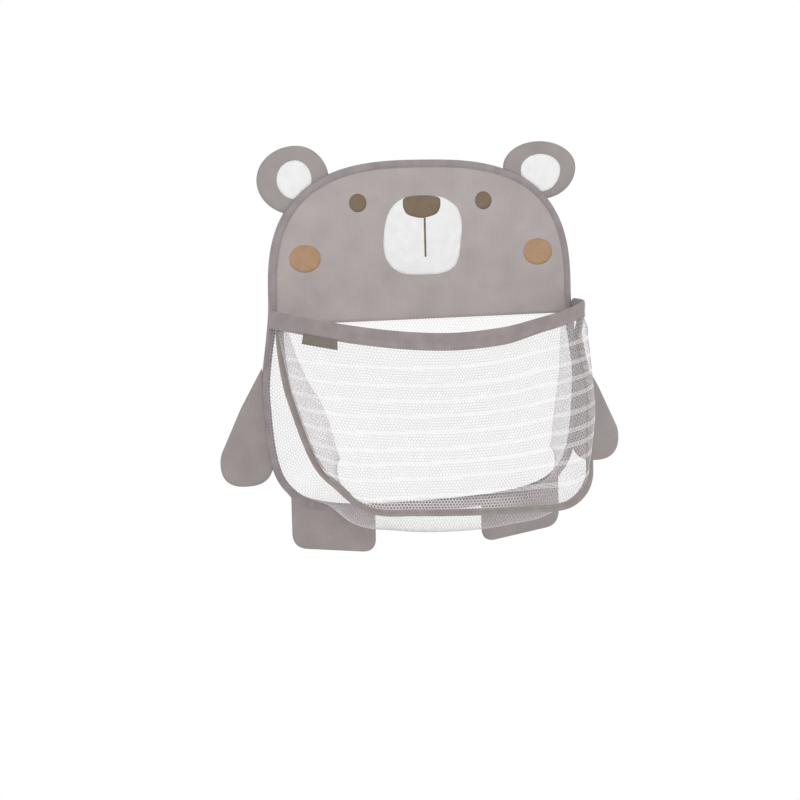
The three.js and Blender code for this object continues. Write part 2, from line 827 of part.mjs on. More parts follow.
// Points of the hem's middle line, closer together at the ends.
function hemLine() {
  const dense = [];
  const count = 1200;
  for (let i = 0; i <= count; i += 1) dense.push(hemAt(Math.PI - (Math.PI * i) / count));
  const runs = [0];
  for (let i = 1; i <= count; i += 1) runs.push(runs[i - 1] + dense[i].distanceTo(dense[i - 1]));
  const length = runs[count];
  const at = (run) => {
    let i = 0;
    while (i < count - 1 && runs[i + 1] < run) i += 1;
    return dense[i].clone().lerp(dense[i + 1], (run - runs[i]) / (runs[i + 1] - runs[i]));
  };
  return { length, at };
}

const hem = hemLine();
const seamSteps = sideSteps + floorSteps;
const frontColumns = 2 * floorSteps;

// The run at which the front net begins, above the top of the front seam tape.
function frontMeeting() {
  const depth = valueAt(seamDepths, 0) + seamTapeThick / 2 + fit;
  let run = hemRound;
  while (panelY - hem.at(run).y < depth) run += 0.25;
  return run;
}

const frontStart = frontMeeting();
const frontRuns = [];
for (let c = 0; c <= frontColumns; c += 1) {
  frontRuns.push(frontStart + ((hem.length - 2 * frontStart) * c) / frontColumns);
}

function hemFrame(run) {
  const point = hem.at(run);
  const along = hem.at(Math.min(run + 1, hem.length)).sub(hem.at(Math.max(run - 1, 0)));
  along.z = 0;
  along.normalize();
  const out = new THREE.Vector3(along.y, -along.x, 0);
  return { point, out };
}

// The hem's ends are round about the line on which the pocket swings.
function hemHeightAt(run) {
  const end = Math.min(run, hem.length - run);
  if (end >= hemRound) return hemHeight;
  return 2 * Math.sqrt(hemRound ** 2 - (hemRound - end) ** 2);
}

function hemRuns(start, clear) {
  const ends = [hemRound, (hemRound + frontStart) / 2];
  for (let i = 0; i < hemEndSteps; i += 1) ends.push(start + ((hemRound - start) * i) / hemEndSteps);
  const kept = ends.filter((run) => run >= clear).sort((a, b) => a - b);
  return [...kept, ...frontRuns, ...kept.map((run) => hem.length - run).reverse()];
}

function hemBand(section, runs) {
  const sections = runs.map((run) => {
    const { point, out } = hemFrame(run);
    return section(run).map((p) => point.clone().addScaledVector(out, p.x).add(new THREE.Vector3(0, 0, p.y)));
  });
  return sweptPiece(sections, section(runs[0]), false);
}

function hemSection(run) {
  const half = hemHeightAt(run) / 2;
  const outer = hemThick / 2;
  const inner = outer - hemCloth;
  return [
    new THREE.Vector2(-outer, -half),
    new THREE.Vector2(-outer, half),
    new THREE.Vector2(outer, half),
    new THREE.Vector2(outer, -half),
    new THREE.Vector2(inner, -half),
    new THREE.Vector2(inner, half - hemCloth),
    new THREE.Vector2(-inner, half - hemCloth),
    new THREE.Vector2(-inner, -half),
  ];
}

function boningSection() {
  const top = hemHeight / 2 - hemCloth - fit;
  const half = boningThick / 2;
  return [
    new THREE.Vector2(-half, top - boningHeight),
    new THREE.Vector2(-half, top),
    new THREE.Vector2(half, top),
    new THREE.Vector2(half, top - boningHeight),
  ];
}

const hemEnd = hemRound / 16;
place("pocket_hem", hemBand(hemSection, hemRuns(hemEnd, 0)), taupeTape());
place("hem_boning", hemBand(boningSection, hemRuns(hemEnd, boningTrim)), paint(0xdadada, 0.5));

// Front seam tape, a flange round the front net. Places on it are set from its middle line.
function seamLine(t) {
  return pocketPoint(1, t, valueAt(seamInsets, t), valueAt(seamDepths, t));
}

function seamPoint(side, t, outward, forward) {
  const step = 0.005;
  const along = seamLine(Math.min(t + step, 1)).sub(seamLine(Math.max(t - step, 0))).normalize();
  if (t >= 1) along.set(-1, 0, 0);
  const out = pocketPoint(1, t, 0, 0).sub(pocketPoint(1, t, 1, 0));
  out.addScaledVector(along, -out.dot(along)).normalize();
  const front = out.clone().cross(along);
  if (front.y > 0) front.negate();
  const tilt = seamTilt * THREE.MathUtils.smoothstep(t, seamTiltStart, seamTiltEnd);
  const width = out.clone().multiplyScalar(Math.cos(tilt)).addScaledVector(front, Math.sin(tilt));
  const face = front.multiplyScalar(Math.cos(tilt)).addScaledVector(out, -Math.sin(tilt));
  const point = seamLine(t).addScaledVector(width, outward).addScaledVector(face, forward);
  point.x *= side;
  return hangAskew(point, t);
}

function seamSections() {
  const sections = [];
  const half = seamTapeWidth / 2;
  const thick = seamTapeThick / 2;
  for (let i = -seamSteps; i <= seamSteps; i += 1) {
    const side = i < 0 ? -1 : 1;
    const t = 1 - Math.abs(i) / seamSteps;
    sections.push([
      seamPoint(side, t, half, -thick),
      seamPoint(side, t, -half, -thick),
      seamPoint(side, t, -half, thick),
      seamPoint(side, t, half, thick),
    ]);
  }
  return sections;
}

const tapeFlat = [
  new THREE.Vector2(0, 0),
  new THREE.Vector2(1, 0),
  new THREE.Vector2(1, 1),
  new THREE.Vector2(0, 1),
];
place("front_seam_tape", sweptPiece(seamSections(), tapeFlat, false), taupeTape());

// Gusset: net panels from the binding to the front seam, folded in at the sides and sagging under the floor.
const netInset = seamTapeWidth / 2 + seamPlay;
const gussetLag = seamTapeThick / 2 + fit + pocketNetThick / 2;
const frontLead = seamTapeThick / 2;

// The stations of a panel count up from the middle of the floor, and stop short of its seams.
function gussetGrid(side, from, to) {
  const grid = [];
  const span = outlineLength - mouthRun;
  for (let i = from; i <= to; i += 1) {
    let t = 1 - i / seamSteps;
    if (i === from) t -= gussetSeam / 2 / span;
    if (i === to && to < seamSteps) t += gussetSeam / 2 / span;
    const run = mouthRun + span * t;
    const rim = bindingHalfAt(insetPoint(run, 0).y) + fit + pocketNetThick / 2;
    const start = pocketPoint(side, t, bindingWidth / 2, rim);
    const fold = hangAskew(pocketPoint(side, t, valueAt(foldInsets, t), valueAt(foldDepths, t)), t);
    const seam = seamPoint(side, t, -netInset, -gussetLag);
    const crease = THREE.MathUtils.smoothstep(valueAt(foldInsets, t), sagInset, creaseInset);
    grid.push(gussetShares.map((v) => {
      const sag = start.clone().multiplyScalar((1 - v) * (1 - 2 * v));
      sag.addScaledVector(fold, 4 * v * (1 - v));
      sag.addScaledVector(seam, v * (2 * v - 1));
      const straight = v < 0.5 ? start.clone().lerp(fold, 2 * v) : fold.clone().lerp(seam, 2 * v - 1);
      return sag.lerp(straight, crease);
    }));
  }
  return grid;
}

for (const [name, side] of [["left", -1], ["right", 1]]) {
  const sidePanel = gussetGrid(side, floorSteps, seamSteps);
  const floorPanel = gussetGrid(side, 0, floorSteps);
  place(`${name}_gusset_side`, sheetPiece(sidePanel, pocketNetThick), whiteNet());
  place(`${name}_gusset_floor`, sheetPiece(floorPanel, pocketNetThick), whiteNet());
}

// Front net: hung from the hem, held by the seam tape, bowed out in between.
function frontEdge(side, t) {
  return seamPoint(side, t, -netInset, frontLead);
}

function frontGrid() {
  const columns = frontColumns;
  const cornerShare = sideSteps / seamSteps;
  const lower = hemHeight / 2 + fit;
  const top = frontRuns.map((run) => hem.at(run).add(new THREE.Vector3(0, 0, -lower)));
  const floor = [];
  for (let c = 0; c <= columns; c += 1) {
    const across = (2 * c) / columns - 1;
    const t = 1 - (1 - cornerShare) * Math.abs(across);
    floor.push(frontEdge(across < 0 ? -1 : 1, t));
  }
  const sideOf = (side, v) => {
    const corner = side < 0 ? top[0] : top[columns];
    const ease = 1 - THREE.MathUtils.smoothstep(v, 0, frontSlip);
    const slip = corner.clone().sub(frontEdge(side, 0)).multiplyScalar(ease);
    return frontEdge(side, cornerShare * v).add(slip);
  };
  const grid = [top.map((p) => p.clone().add(new THREE.Vector3(0, 0, fit + hemGrip)))];
  for (let r = 0; r <= sideSteps; r += 1) {
    const v = r / sideSteps;
    const left = sideOf(-1, v);
    const right = sideOf(1, v);
    const row = [];
    for (let c = 0; c <= columns; c += 1) {
      const w = c / columns;
      const point = top[c].clone().multiplyScalar(1 - v).addScaledVector(floor[c], v);
      point.addScaledVector(left, 1 - w).addScaledVector(right, w);
      point.addScaledVector(top[0], -(1 - v) * (1 - w)).addScaledVector(top[columns], -(1 - v) * w);
      point.addScaledVector(floor[0], -v * (1 - w)).addScaledVector(floor[columns], -v * w);
      const across = 2 * w - 1;
      const swell = Math.sin(Math.PI * v) ** frontBulgeBend;
      point.y -= frontBulge * (1 - across ** 4) * swell;
      point.x += sideBulge * across * Math.abs(across) ** (sideBulgeBend - 1) * (1 - across ** 8) * swell;
      row.push(point);
    }
    grid.push(row);
  }
  return grid;
}

const frontNet = sheetPiece(frontGrid(), pocketNetThick, frontOpeningShare);
place("pocket_front_net", geometryOf(solidOf(frontNet)), whiteNet());

// Side label, a bare tab hung from the lower edge of the hem.
function labelRuns() {
  let start = 0;
  while (hem.at(start).x < -labelSpread) start += 0.25;
  const runs = [];
  const steps = 4;
  for (let i = 0; i <= steps; i += 1) runs.push(start + (labelLength * i) / steps);
  return runs;
}

function labelSection() {
  const top = -hemHeight / 2 - fit;
  const inner = hemThick / 2;
  return [
    new THREE.Vector2(inner + labelLean, top - labelHeight),
    new THREE.Vector2(inner, top),
    new THREE.Vector2(inner + labelThick, top),
    new THREE.Vector2(inner + labelLean + labelThick, top - labelHeight),
  ];
}

place("side_label", hemBand(labelSection, labelRuns()), paint(0x7a7268, 0.8));

export default root;
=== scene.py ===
import math
import bpy
import numpy as np
from mathutils import Matrix, Vector
from mathutils.geometry import delaunay_2d_cdt


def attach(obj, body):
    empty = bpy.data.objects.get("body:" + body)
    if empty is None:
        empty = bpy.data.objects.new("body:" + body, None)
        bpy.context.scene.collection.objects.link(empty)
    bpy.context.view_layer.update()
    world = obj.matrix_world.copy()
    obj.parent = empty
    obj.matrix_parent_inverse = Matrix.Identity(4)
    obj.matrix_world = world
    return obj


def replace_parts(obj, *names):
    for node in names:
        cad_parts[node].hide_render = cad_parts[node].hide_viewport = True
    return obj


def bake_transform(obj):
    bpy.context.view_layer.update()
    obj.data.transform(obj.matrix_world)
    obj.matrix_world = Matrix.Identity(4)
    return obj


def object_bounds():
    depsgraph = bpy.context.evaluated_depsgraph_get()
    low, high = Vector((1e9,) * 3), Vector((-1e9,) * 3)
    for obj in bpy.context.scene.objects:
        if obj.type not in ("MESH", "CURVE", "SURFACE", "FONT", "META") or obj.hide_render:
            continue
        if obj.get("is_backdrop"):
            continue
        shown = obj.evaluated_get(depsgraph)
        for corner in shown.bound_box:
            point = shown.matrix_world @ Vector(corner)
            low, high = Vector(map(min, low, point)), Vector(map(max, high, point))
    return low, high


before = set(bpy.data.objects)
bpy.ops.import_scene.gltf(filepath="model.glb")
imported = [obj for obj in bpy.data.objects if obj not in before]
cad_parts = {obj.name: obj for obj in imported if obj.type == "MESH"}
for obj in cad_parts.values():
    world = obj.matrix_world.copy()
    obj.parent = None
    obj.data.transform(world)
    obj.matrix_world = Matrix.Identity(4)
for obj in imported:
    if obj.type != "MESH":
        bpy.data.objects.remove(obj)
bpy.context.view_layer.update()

# Bear-shaped bath toy organizer on two suction cups. Sizes in the dictionaries are millimetres.
mm = 0.001
sides = (("left", -1), ("right", 1))


# camera at the angle of the photograph, a little to the left and just above
shot = {"target": (-5.1, -15.7, -120.0), "azimuth": -20.0, "elevation": 4.1, "roll": -1.35,
        "distance": 1800.0, "lens": 81.0, "sensor": 36.0, "shiftX": -0.0250, "shiftY": -0.075}
az, el, roll = (math.radians(shot[k]) for k in ("azimuth", "elevation", "roll"))
backward = Vector((math.sin(az) * math.cos(el), -math.cos(az) * math.cos(el), math.sin(el)))
level = Vector((math.cos(az), math.sin(az), 0))
upright = backward.cross(level)
across = level * math.cos(roll) + upright * math.sin(roll)
above = upright * math.cos(roll) - level * math.sin(roll)
camera = bpy.data.objects.new("camera", bpy.data.cameras.new("camera"))
camera.matrix_world = Matrix((across, above, backward)).transposed().to_4x4()
camera.location = (Vector(shot["target"]) + backward * shot["distance"]) * mm
camera.data.lens = shot["lens"]
camera.data.sensor_width = shot["sensor"]
camera.data.shift_x = shot["shiftX"]
camera.data.shift_y = shot["shiftY"]
bpy.context.collection.objects.link(camera)
bpy.context.scene.camera = camera
bpy.context.scene.view_settings.view_transform = "Standard"
print("camera set")


# colours are sRGB hex, shaders want linear
def linear(hexColour):
    parts = [int(hexColour[i:i + 2], 16) / 255 for i in (0, 2, 4)]
    return tuple(p / 12.92 if p <= 0.04045 else ((p + 0.055) / 1.055) ** 2.4 for p in parts) + (1.0,)


# one node: lower-case settings are properties, the others are sockets; links give (node, output)
def addNode(tree, kind, settings, links={}):
    node = tree.nodes.new("ShaderNode" + kind)
    for key, value in settings.items():
        if key == "stops":
            ramp = node.color_ramp.elements
            while len(ramp) < len(value):
                ramp.new(0.5)
            for stop, (place, colour) in zip(ramp, value):
                stop.position = place
                stop.color = linear(colour)
        elif isinstance(key, str) and hasattr(node, key):
            setattr(node, key, value)
        else:
            node.inputs[key].default_value = value
    for key, (source, output) in links.items():
        tree.links.new(source.outputs[output], node.inputs[key])
    return node


def newFinish(name, space="Object"):  # an empty material, and the link that lays its textures
    material = bpy.data.materials.new(name)
    material.use_nodes = True
    tree = material.node_tree
    tree.nodes.clear()
    return material, tree, {"Vector": (addNode(tree, "TexCoord", {}), space)}


# the end of every finish: colour stops along a tone, relief from a height, roughness from wear
def endFinish(material, shine, tone=None, height=None, wear=None):
    tree, links = material.node_tree, {}
    if tone:
        source, *stops = tone
        links["Base Color"] = addNode(tree, "ValToRGB", {"stops": stops}, {"Fac": source}), "Color"
    if height:
        source, strength, distance = height
        bump = addNode(tree, "Bump", {"Strength": strength, "Distance": distance}, {"Height": source})
        links["Normal"] = bump, "Normal"
    if wear:
        source, least, most = wear
        rough = addNode(tree, "MapRange", {"To Min": least, "To Max": most}, {"Value": source})
        links["Roughness"] = rough, "Result"
    shader = addNode(tree, "BsdfPrincipled", shine, links)
    addNode(tree, "OutputMaterial", {}, {"Surface": (shader, "BSDF")})
    return material


def waveScale(period):  # a band wave repeats every pi / 10 / scale
    return math.pi / 10 / (period * mm)


def noiseScale(size):
    return 1 / (size * mm)


def crossThreads(tree, lies, grain, fine):  # warp and weft, added
    waves = [addNode(tree, "TexWave", {"bands_direction": way, "Scale": waveScale(grain), "Distortion": 1.2,
                                       "Detail Scale": fine}, lies) for way in ("X", "Z")]
    return addNode(tree, "Math", {"operation": "ADD"}, {k: (wave, "Fac") for k, wave in enumerate(waves)})


# plain-woven polyester: dull, with a fine square grain of threads and cloudy dye
# real threads lie 0.45 mm apart; the grain is drawn coarser so that it shows at a pixel per millimetre
def wovenPolyester(name, dark, mid, light, grain=1.9):
    material, tree, lies = newFinish(name)
    threads = crossThreads(tree, lies, grain, 3.0)
    cloud = addNode(tree, "TexNoise", {"Scale": noiseScale(26), "Detail": 4.0}, lies)
    slub = addNode(tree, "Math", {"operation": "MULTIPLY_ADD", 1: 0.16},
                   {0: (threads, "Value"), 2: (cloud, "Fac")})
    return endFinish(material, {"Sheen Weight": 0.12, "Sheen Roughness": 0.5, "Specular IOR Level": 0.25},
                     ((slub, "Value"), (0.38, dark), (0.64, mid), (0.95, light)),
                     ((threads, "Value"), 0.35, 0.00025), ((cloud, "Fac"), 0.82, 0.9))


# ribbed polyester tape: fine cross ribs, a touch paler and worn along its two edges
# real ribs are 0.6 mm apart, drawn at twice that
def ribbedTape(name, dark, mid, light, width, rib=1.3):
    material, tree, lies = newFinish(name, "UV")
    ribs = addNode(tree, "TexWave", {"bands_direction": "X", "Scale": waveScale(rib), "Distortion": 0.6,
                                     "Detail Scale": 2.0}, lies)
    cloud = addNode(tree, "TexNoise", {"Scale": noiseScale(14), "Detail": 5.0}, lies)
    tone = addNode(tree, "Math", {"operation": "MULTIPLY_ADD", 1: 0.12},
                   {0: (ribs, "Fac"), 2: (cloud, "Fac")})
    split = addNode(tree, "SeparateXYZ", {}, lies)
    edge = addNode(tree, "MapRange", {"interpolation_type": "SMOOTHSTEP", "From Min": width * mm * 0.36,
                                      "From Max": width * mm * 0.5, "To Max": 0.16}, {"Value": (split, "Y")})
    worn = addNode(tree, "Math", {"operation": "ADD"}, {0: (tone, "Value"), 1: (edge, "Result")})
    return endFinish(material, {"Sheen Weight": 0.15, "Sheen Roughness": 0.45, "Specular IOR Level": 0.25},
                     ((worn, "Value"), (0.35, dark), (0.56, mid), (0.85, light)),
                     ((ribs, "Fac"), 0.3, 0.0002), ((cloud, "Fac"), 0.78, 0.92))


# knitted polyester yarn: off-white, a little uneven in tone, with the twist of its filaments; the net's
# greyer tones are painted shade
# real twist is 0.2 mm long, drawn at 1.2 mm
def knittedYarn(name, dark, light):
    material, tree, lies = newFinish(name)
    cloud = addNode(tree, "TexNoise", {"Scale": noiseScale(18), "Detail": 3.0}, lies)
    twist = addNode(tree, "TexWave", {"bands_direction": "DIAGONAL", "Scale": waveScale(1.2)}, lies)
    return endFinish(material, {"Roughness": 0.8, "Specular IOR Level": 0.2, "Sheen Weight": 0.1},
                     ((cloud, "Fac"), (0.3, dark), (0.7, light)), ((twist, "Fac"), 0.2, 0.0001))


# screen print: a thin flexible ink that takes the grain of the cloth and lies a little uneven
# its grain is drawn as coarse as the cloth's
def screenInk(name, dark, light):
    material, tree, lies = newFinish(name)
    threads = crossThreads(tree, lies, 1.9, 1.0)
    cloud = addNode(tree, "TexNoise", {"Scale": noiseScale(9), "Detail": 6.0}, lies)
    lay = addNode(tree, "Math", {"operation": "MULTIPLY_ADD", 1: 0.1},
                  {0: (threads, "Value"), 2: (cloud, "Fac")})
    return endFinish(material, {"Specular IOR Level": 0.3}, ((lay, "Value"), (0.4, dark), (0.8, light)),
                     ((threads, "Value"), 0.22, 0.0002), ((cloud, "Fac"), 0.6, 0.8))


# satin-woven label tape: a diagonal twill line and a soft gloss, bare of print
# real twill lines are 0.4 mm apart, drawn at 1.1 mm
def satinLabel(name, dark, light):
    material, tree, lies = newFinish(name, "UV")
    twill = addNode(tree, "TexWave", {"bands_direction": "DIAGONAL", "Scale": waveScale(1.1),
                                      "Distortion": 0.4}, lies)
    cloud = addNode(tree, "TexNoise", {"Scale": noiseScale(6), "Detail": 4.0}, lies)
    tone = addNode(tree, "Math", {"operation": "MULTIPLY_ADD", 1: 0.3},
                   {0: (twill, "Fac"), 2: (cloud, "Fac")})
    return endFinish(material, {"Roughness": 0.6, "Sheen Weight": 0.2},
                     ((tone, "Value"), (0.4, dark), (0.95, light)), ((twill, "Fac"), 0.2, 0.0001))


# open-cell polyurethane foam: cream, matt, full of pores about 1 mm wide
def padFoam(name, dark, light):
    material, tree, lies = newFinish(name)
    pores = addNode(tree, "TexVoronoi", {"Scale": noiseScale(1.4)}, lies), "Distance"
    return endFinish(material, {"Roughness": 0.95, "Specular IOR Level": 0.15},
                     (pores, (0.05, dark), (0.45, light)), (pores, 0.5, 0.0004))


# clear moulded vinyl: see-through, soft gloss, faint waviness and finger haze
def clearVinyl(name, tint):
    material, tree, lies = newFinish(name)
    haze = addNode(tree, "TexNoise", {"Scale": noiseScale(7), "Detail": 5.0}, lies), "Fac"
    return endFinish(material, {"Base Color": linear(tint), "IOR": 1.53, "Transmission Weight": 0.86},
                     height=(haze, 0.12, 0.0003), wear=(haze, 0.08, 0.3))


# bare metal: nickel-plated eyelets and drawn steel wire, brushed by wear along fine streaks
def wornMetal(name, dark, light, smooth, dull, streak):
    material, tree, lies = newFinish(name)
    scuffs = addNode(tree, "TexNoise", {"Scale": noiseScale(streak), "Detail": 6.0, "Roughness": 0.65},
                     lies), "Fac"
    return endFinish(material, {"Metallic": 1.0}, (scuffs, (0.35, dark), (0.65, light)),
                     (scuffs, 0.1, 0.0001), (scuffs, smooth, dull))


# extruded polyethylene strip: milky, waxy, with draw lines along it
def drawnPolythene(name, dark, light):
    material, tree, lies = newFinish(name, "UV")
    lines = addNode(tree, "TexWave", {"bands_direction": "Y", "Scale": waveScale(1.5), "Distortion": 0.3},
                    lies), "Fac"
    return endFinish(material, {"Roughness": 0.4, "Subsurface Weight": 0.2},
                     (lines, (0.2, dark), (0.8, light)), (lines, 0.15, 0.0001))


faceFinish = wovenPolyester("woven polyester face", "A69E9C", "AEA6A4", "B6AEAC")
flapFinish = wovenPolyester("woven polyester flap", "958D8B", "9D9593", "A59D9B")
liningFinish = wovenPolyester("woven polyester lining", "A29A98", "AAA2A0", "B2AAA8", 2.2)
bindingFinish = ribbedTape("ribbed polyester binding", "8E8588", "988F91", "A39A9C", 25)
hemFinish = ribbedTape("folded polyester hem", "8E8586", "978D8D", "A29898", 38, 1.6)
seamFinish = ribbedTape("ribbed polyester seam tape", "8E8684", "968E8A", "A29A97", 20)
threadFinish = knittedYarn("polyester sewing thread", "8A8183", "A0979A")
# the net's yarn is white like the stripes; its light grey, faintly lavender tones are painted shade of the
# thin threads
shadedNetFinish = knittedYarn("knitted polyester net with painted shade", "D7D2D5", "E3DEE1")
stripeFinish = knittedYarn("knitted polyester stripe", "FAFAFA", "FFFFFF")
whiteInk = screenInk("screen print white", "E8E8E8", "F0F0F0")
brownInk = screenInk("screen print brown", "776653", "806F5C")
peachInk = screenInk("screen print peach", "A9876A", "B29173")
labelFinish = satinLabel("satin woven label", "6C6459", "7C746A")
foamFinish = padFoam("polyurethane foam", "D8D2C4", "ECE8DE")
cupFinish = clearVinyl("clear moulded vinyl", "EEF3F4")
eyeletFinish = wornMetal("nickel-plated brass", "B4B6B8", "CCCED0", 0.18, 0.36, 1.5)
wireFinish = wornMetal("drawn steel wire", "8E9194", "A6A9AC", 0.3, 0.5, 0.8)
boningFinish = drawnPolythene("extruded polythene", "D4D4D2", "E0E0DE")
print("finishes made")


# a mesh from points in millimetres; uv is in millimetres too
def makePiece(name, points, faces, finish, uv=None, smooth=True):
    mesh = bpy.data.meshes.new(name)
    mesh.from_pydata((np.asarray(points, float) * mm).tolist(), [], [list(f) for f in faces])
    if uv is not None:
        corners = np.empty(len(mesh.loops), dtype=np.int32)
        mesh.loops.foreach_get("vertex_index", corners)
        spread = (np.asarray(uv, float)[corners] * mm).ravel()
        mesh.uv_layers.new(name="cloth").data.foreach_set("uv", spread)
    for one in finish if isinstance(finish, list) else [finish]:
        mesh.materials.append(one)
    if smooth:
        mesh.shade_smooth()
    mesh.update()
    piece = bpy.data.objects.new(name, mesh)
    bpy.context.collection.objects.link(piece)
    return piece


def smoothStep(value, low, high):
    share = np.clip((np.asarray(value, float) - low) / (high - low), 0, 1)
    return share * share * (3 - 2 * share)


def hump(value, rise, fall):
    return smoothStep(value, *rise) * (1 - smoothStep(value, *fall))


def ripple(points, wide, tall, shiftX, shiftZ):  # gentle unevenness of cloth
    return np.sin(points[:, 0] / wide + shiftX) * np.sin(points[:, 1] / tall + shiftZ)


def unit(rows):
    return rows / np.linalg.norm(rows, axis=-1)[..., None]


def runOf(points):  # length so far along a row of points
    return np.concatenate([[0], np.cumsum(np.linalg.norm(np.diff(points, axis=0), axis=1))])


def pointsAt(where, run, rows):
    return np.stack([np.interp(where, run, rows[:, k]) for k in range(3)], -1)


# outline of the back panel, right half, from the top of the head to the middle of the floor
panel = {"headHalf": 160.2, "headTop": 59.6, "domeHeight": 133.6, "domeBend": 2.75, "bodyHalf": 169.5,
         "widestDrop": 91.0, "bottomDrop": 214.5, "flankEase": 30.0, "cornerSideInset": 5.5,
         "cornerSideDrop": 107.0, "cornerFloorReach": 162.0, "headLowerDrop": 24.7, "netTuck": 7.7,
         "midY": -15.7, "edge": 2.6, "crownRun": 60.0, "points": 900, "domePoints": 240,
         "flankPoints": 160, "floorPoints": 240}
base = panel["headTop"] - panel["domeHeight"]
widest = base - panel["widestDrop"]
bottom = base - panel["bottomDrop"]
headLower = base - panel["headLowerDrop"]
netTop = headLower + panel["netTuck"]
midY = panel["midY"]


def bezier(a, b, c, d, count):
    s = np.linspace(0, 1, count)[:, None]
    a, b, c, d = (np.array(p, float) for p in (a, b, c, d))
    return (1 - s) ** 3 * a + 3 * s * (1 - s) ** 2 * b + 3 * s ** 2 * (1 - s) * c + s ** 3 * d


turn = np.linspace(math.pi / 2, 0, panel["domePoints"])
power = 2 / panel["domeBend"]
dome = np.stack([panel["headHalf"] * np.cos(turn).clip(0) ** power,
                 base + panel["domeHeight"] * np.sin(turn) ** power], 1)
flank = bezier((panel["headHalf"], base), (panel["headHalf"], base - panel["flankEase"]),
               (panel["bodyHalf"], widest + panel["flankEase"]), (panel["bodyHalf"], widest),
               panel["flankPoints"])
floorLine = bezier((panel["bodyHalf"], widest),
                   (panel["bodyHalf"] - panel["cornerSideInset"], widest - panel["cornerSideDrop"]),
                   (panel["cornerFloorReach"], bottom), (0, bottom), panel["floorPoints"])
outline = np.vstack([dome[:-1], flank[:-1], floorLine])
outlineRun = runOf(outline)
edgeLength = outlineRun[-1]
edgeRun = np.linspace(0, edgeLength, panel["points"])
edgeX, edgeZ = (np.interp(edgeRun, outlineRun, outline[:, k]) for k in (0, 1))
outX, outZ = -np.gradient(edgeZ), np.gradient(edgeX)
outX[0] = outX[-1] = 0
outSize = np.hypot(outX, outZ)
outX, outZ = outX / outSize, outZ / outSize


def edgeAt(run, inset=0.0):  # a point of the right half, moved in from the edge
    x, z, nx, nz = (np.interp(run, edgeRun, row) for row in (edgeX, edgeZ, outX, outZ))
    return x - nx * inset, z - nz * inset


def runAtHeight(height):
    below = edgeRun > panel["crownRun"]
    return np.interp(-height, -edgeZ[below], edgeRun[below])


def wholeEdge(inset, count):  # both halves, round from the top by the right
    right = np.stack(edgeAt(np.linspace(0, edgeLength, count), inset), 1)
    return np.vstack([right, right[-2:0:-1] * (-1, 1)])


def insideShape(points, loop):  # even-odd test
    x, z = points[:, 0][:, None], points[:, 1][:, None]
    a, b = loop, np.roll(loop, -1, 0)
    rises = (a[:, 1] > z) != (b[:, 1] > z)
    step = np.where(np.abs(b[:, 1] - a[:, 1]) < 1e-12, 1e-12, b[:, 1] - a[:, 1])
    return (rises & (x < (b[:, 0] - a[:, 0]) * (z - a[:, 1]) / step + a[:, 0])).sum(1) % 2 == 1


def edgeDistance(points, loop):
    a, b = loop, np.roll(loop, -1, 0)
    along = b - a
    share = ((points[:, None] - a) * along).sum(2) / np.maximum((along ** 2).sum(1), 1e-12)
    near = a + share.clip(0, 1)[:, :, None] * along
    return np.linalg.norm(points[:, None] - near, axis=2).min(1)


# triangles over a flat outline, with an even scatter of points inside so that it can be crowned
def fillShape(loop, spacing, holes=()):
    low, high = loop.min(0), loop.max(0)
    rowStep = spacing * 0.866  # rows of even triangles
    grid = np.array([(x + (j % 2) * spacing / 2, z) for j, z in enumerate(np.arange(low[1], high[1], rowStep))
                     for x in np.arange(low[0], high[0], spacing)])
    inside = grid[insideShape(grid, loop)]
    edges, start = [], 0
    for rim in (loop, *holes):
        inside = inside[edgeDistance(inside, rim) > spacing * 0.45]  # no slivers at the rim
        edges += [(start + i, start + (i + 1) % len(rim)) for i in range(len(rim))]
        start += len(rim)
    for hole in holes:
        inside = inside[~insideShape(inside, hole)]
    points = [Vector(p) for p in np.vstack([loop, *holes, inside]).tolist()]
    flat, _, faces, *_ = delaunay_2d_cdt(points, edges, [], 0, 1e-7)
    flat, faces = np.array([tuple(p) for p in flat]), np.array(list(faces))
    centre = flat[faces].mean(1)
    keep = insideShape(centre, loop)
    for hole in holes:
        keep &= ~insideShape(centre, hole)
    faces = faces[keep]
    a, b, c = (flat[faces[:, i]] for i in range(3))
    turned = (b[:, 0] - a[:, 0]) * (c[:, 1] - a[:, 1]) - (b[:, 1] - a[:, 1]) * (c[:, 0] - a[:, 0]) < 0
    faces[turned] = faces[turned][:, ::-1]
    return flat, faces


# a closed cloth or pad between a front and a back surface, each a depth along Y at every point
def layeredPiece(name, flat, faces, frontY, backY, finish):
    count = len(flat)
    skins = [np.stack([flat[:, 0], depth, flat[:, 1]], 1) for depth in (frontY, backY)]
    edges = dict.fromkeys((a, b) for i, j in ((0, 1), (1, 2), (2, 0)) for a, b in faces[:, [i, j]].tolist())
    rim = [(b, a, a + count, b + count) for a, b in edges if (b, a) not in edges]  # edges met once
    quilt = faces.tolist() + (faces[:, ::-1] + count).tolist() + rim
    return makePiece(name, np.vstack(skins), quilt, finish)


def tubeFaces(rows, count, ring=False):  # faces round rings of points, with both ends shut
    grid = np.arange(rows * count).reshape(rows, count)
    beside, ahead, both = (np.roll(grid, -1, axis) for axis in (1, 0, (0, 1)))
    quads = np.stack([grid, beside, both, ahead], 2)[:rows if ring else -1].reshape(-1, 4).tolist()
    return quads if ring else quads + [grid[0, ::-1].tolist(), grid[-1].tolist()]


# a ribbon, tape or rod: rings of points joined along their row
def sweptPiece(name, rings, finish, across, along, ring=False):
    uv = np.stack(np.broadcast_arrays(np.asarray(along)[:, None], np.asarray(across)[None, :]), 2)
    faces = tubeFaces(*rings.shape[:2], ring)
    return makePiece(name, rings.reshape(-1, 3), faces, finish, uv.reshape(-1, 2))


def acrossFold(tape, shown, hidden):  # place across a folded tape of each point of its section
    skin = np.abs(np.linspace(-tape["halfFlat"], tape["halfFlat"], shown))
    return np.concatenate([skin, np.full(hidden, tape["hiddenFlat"])])


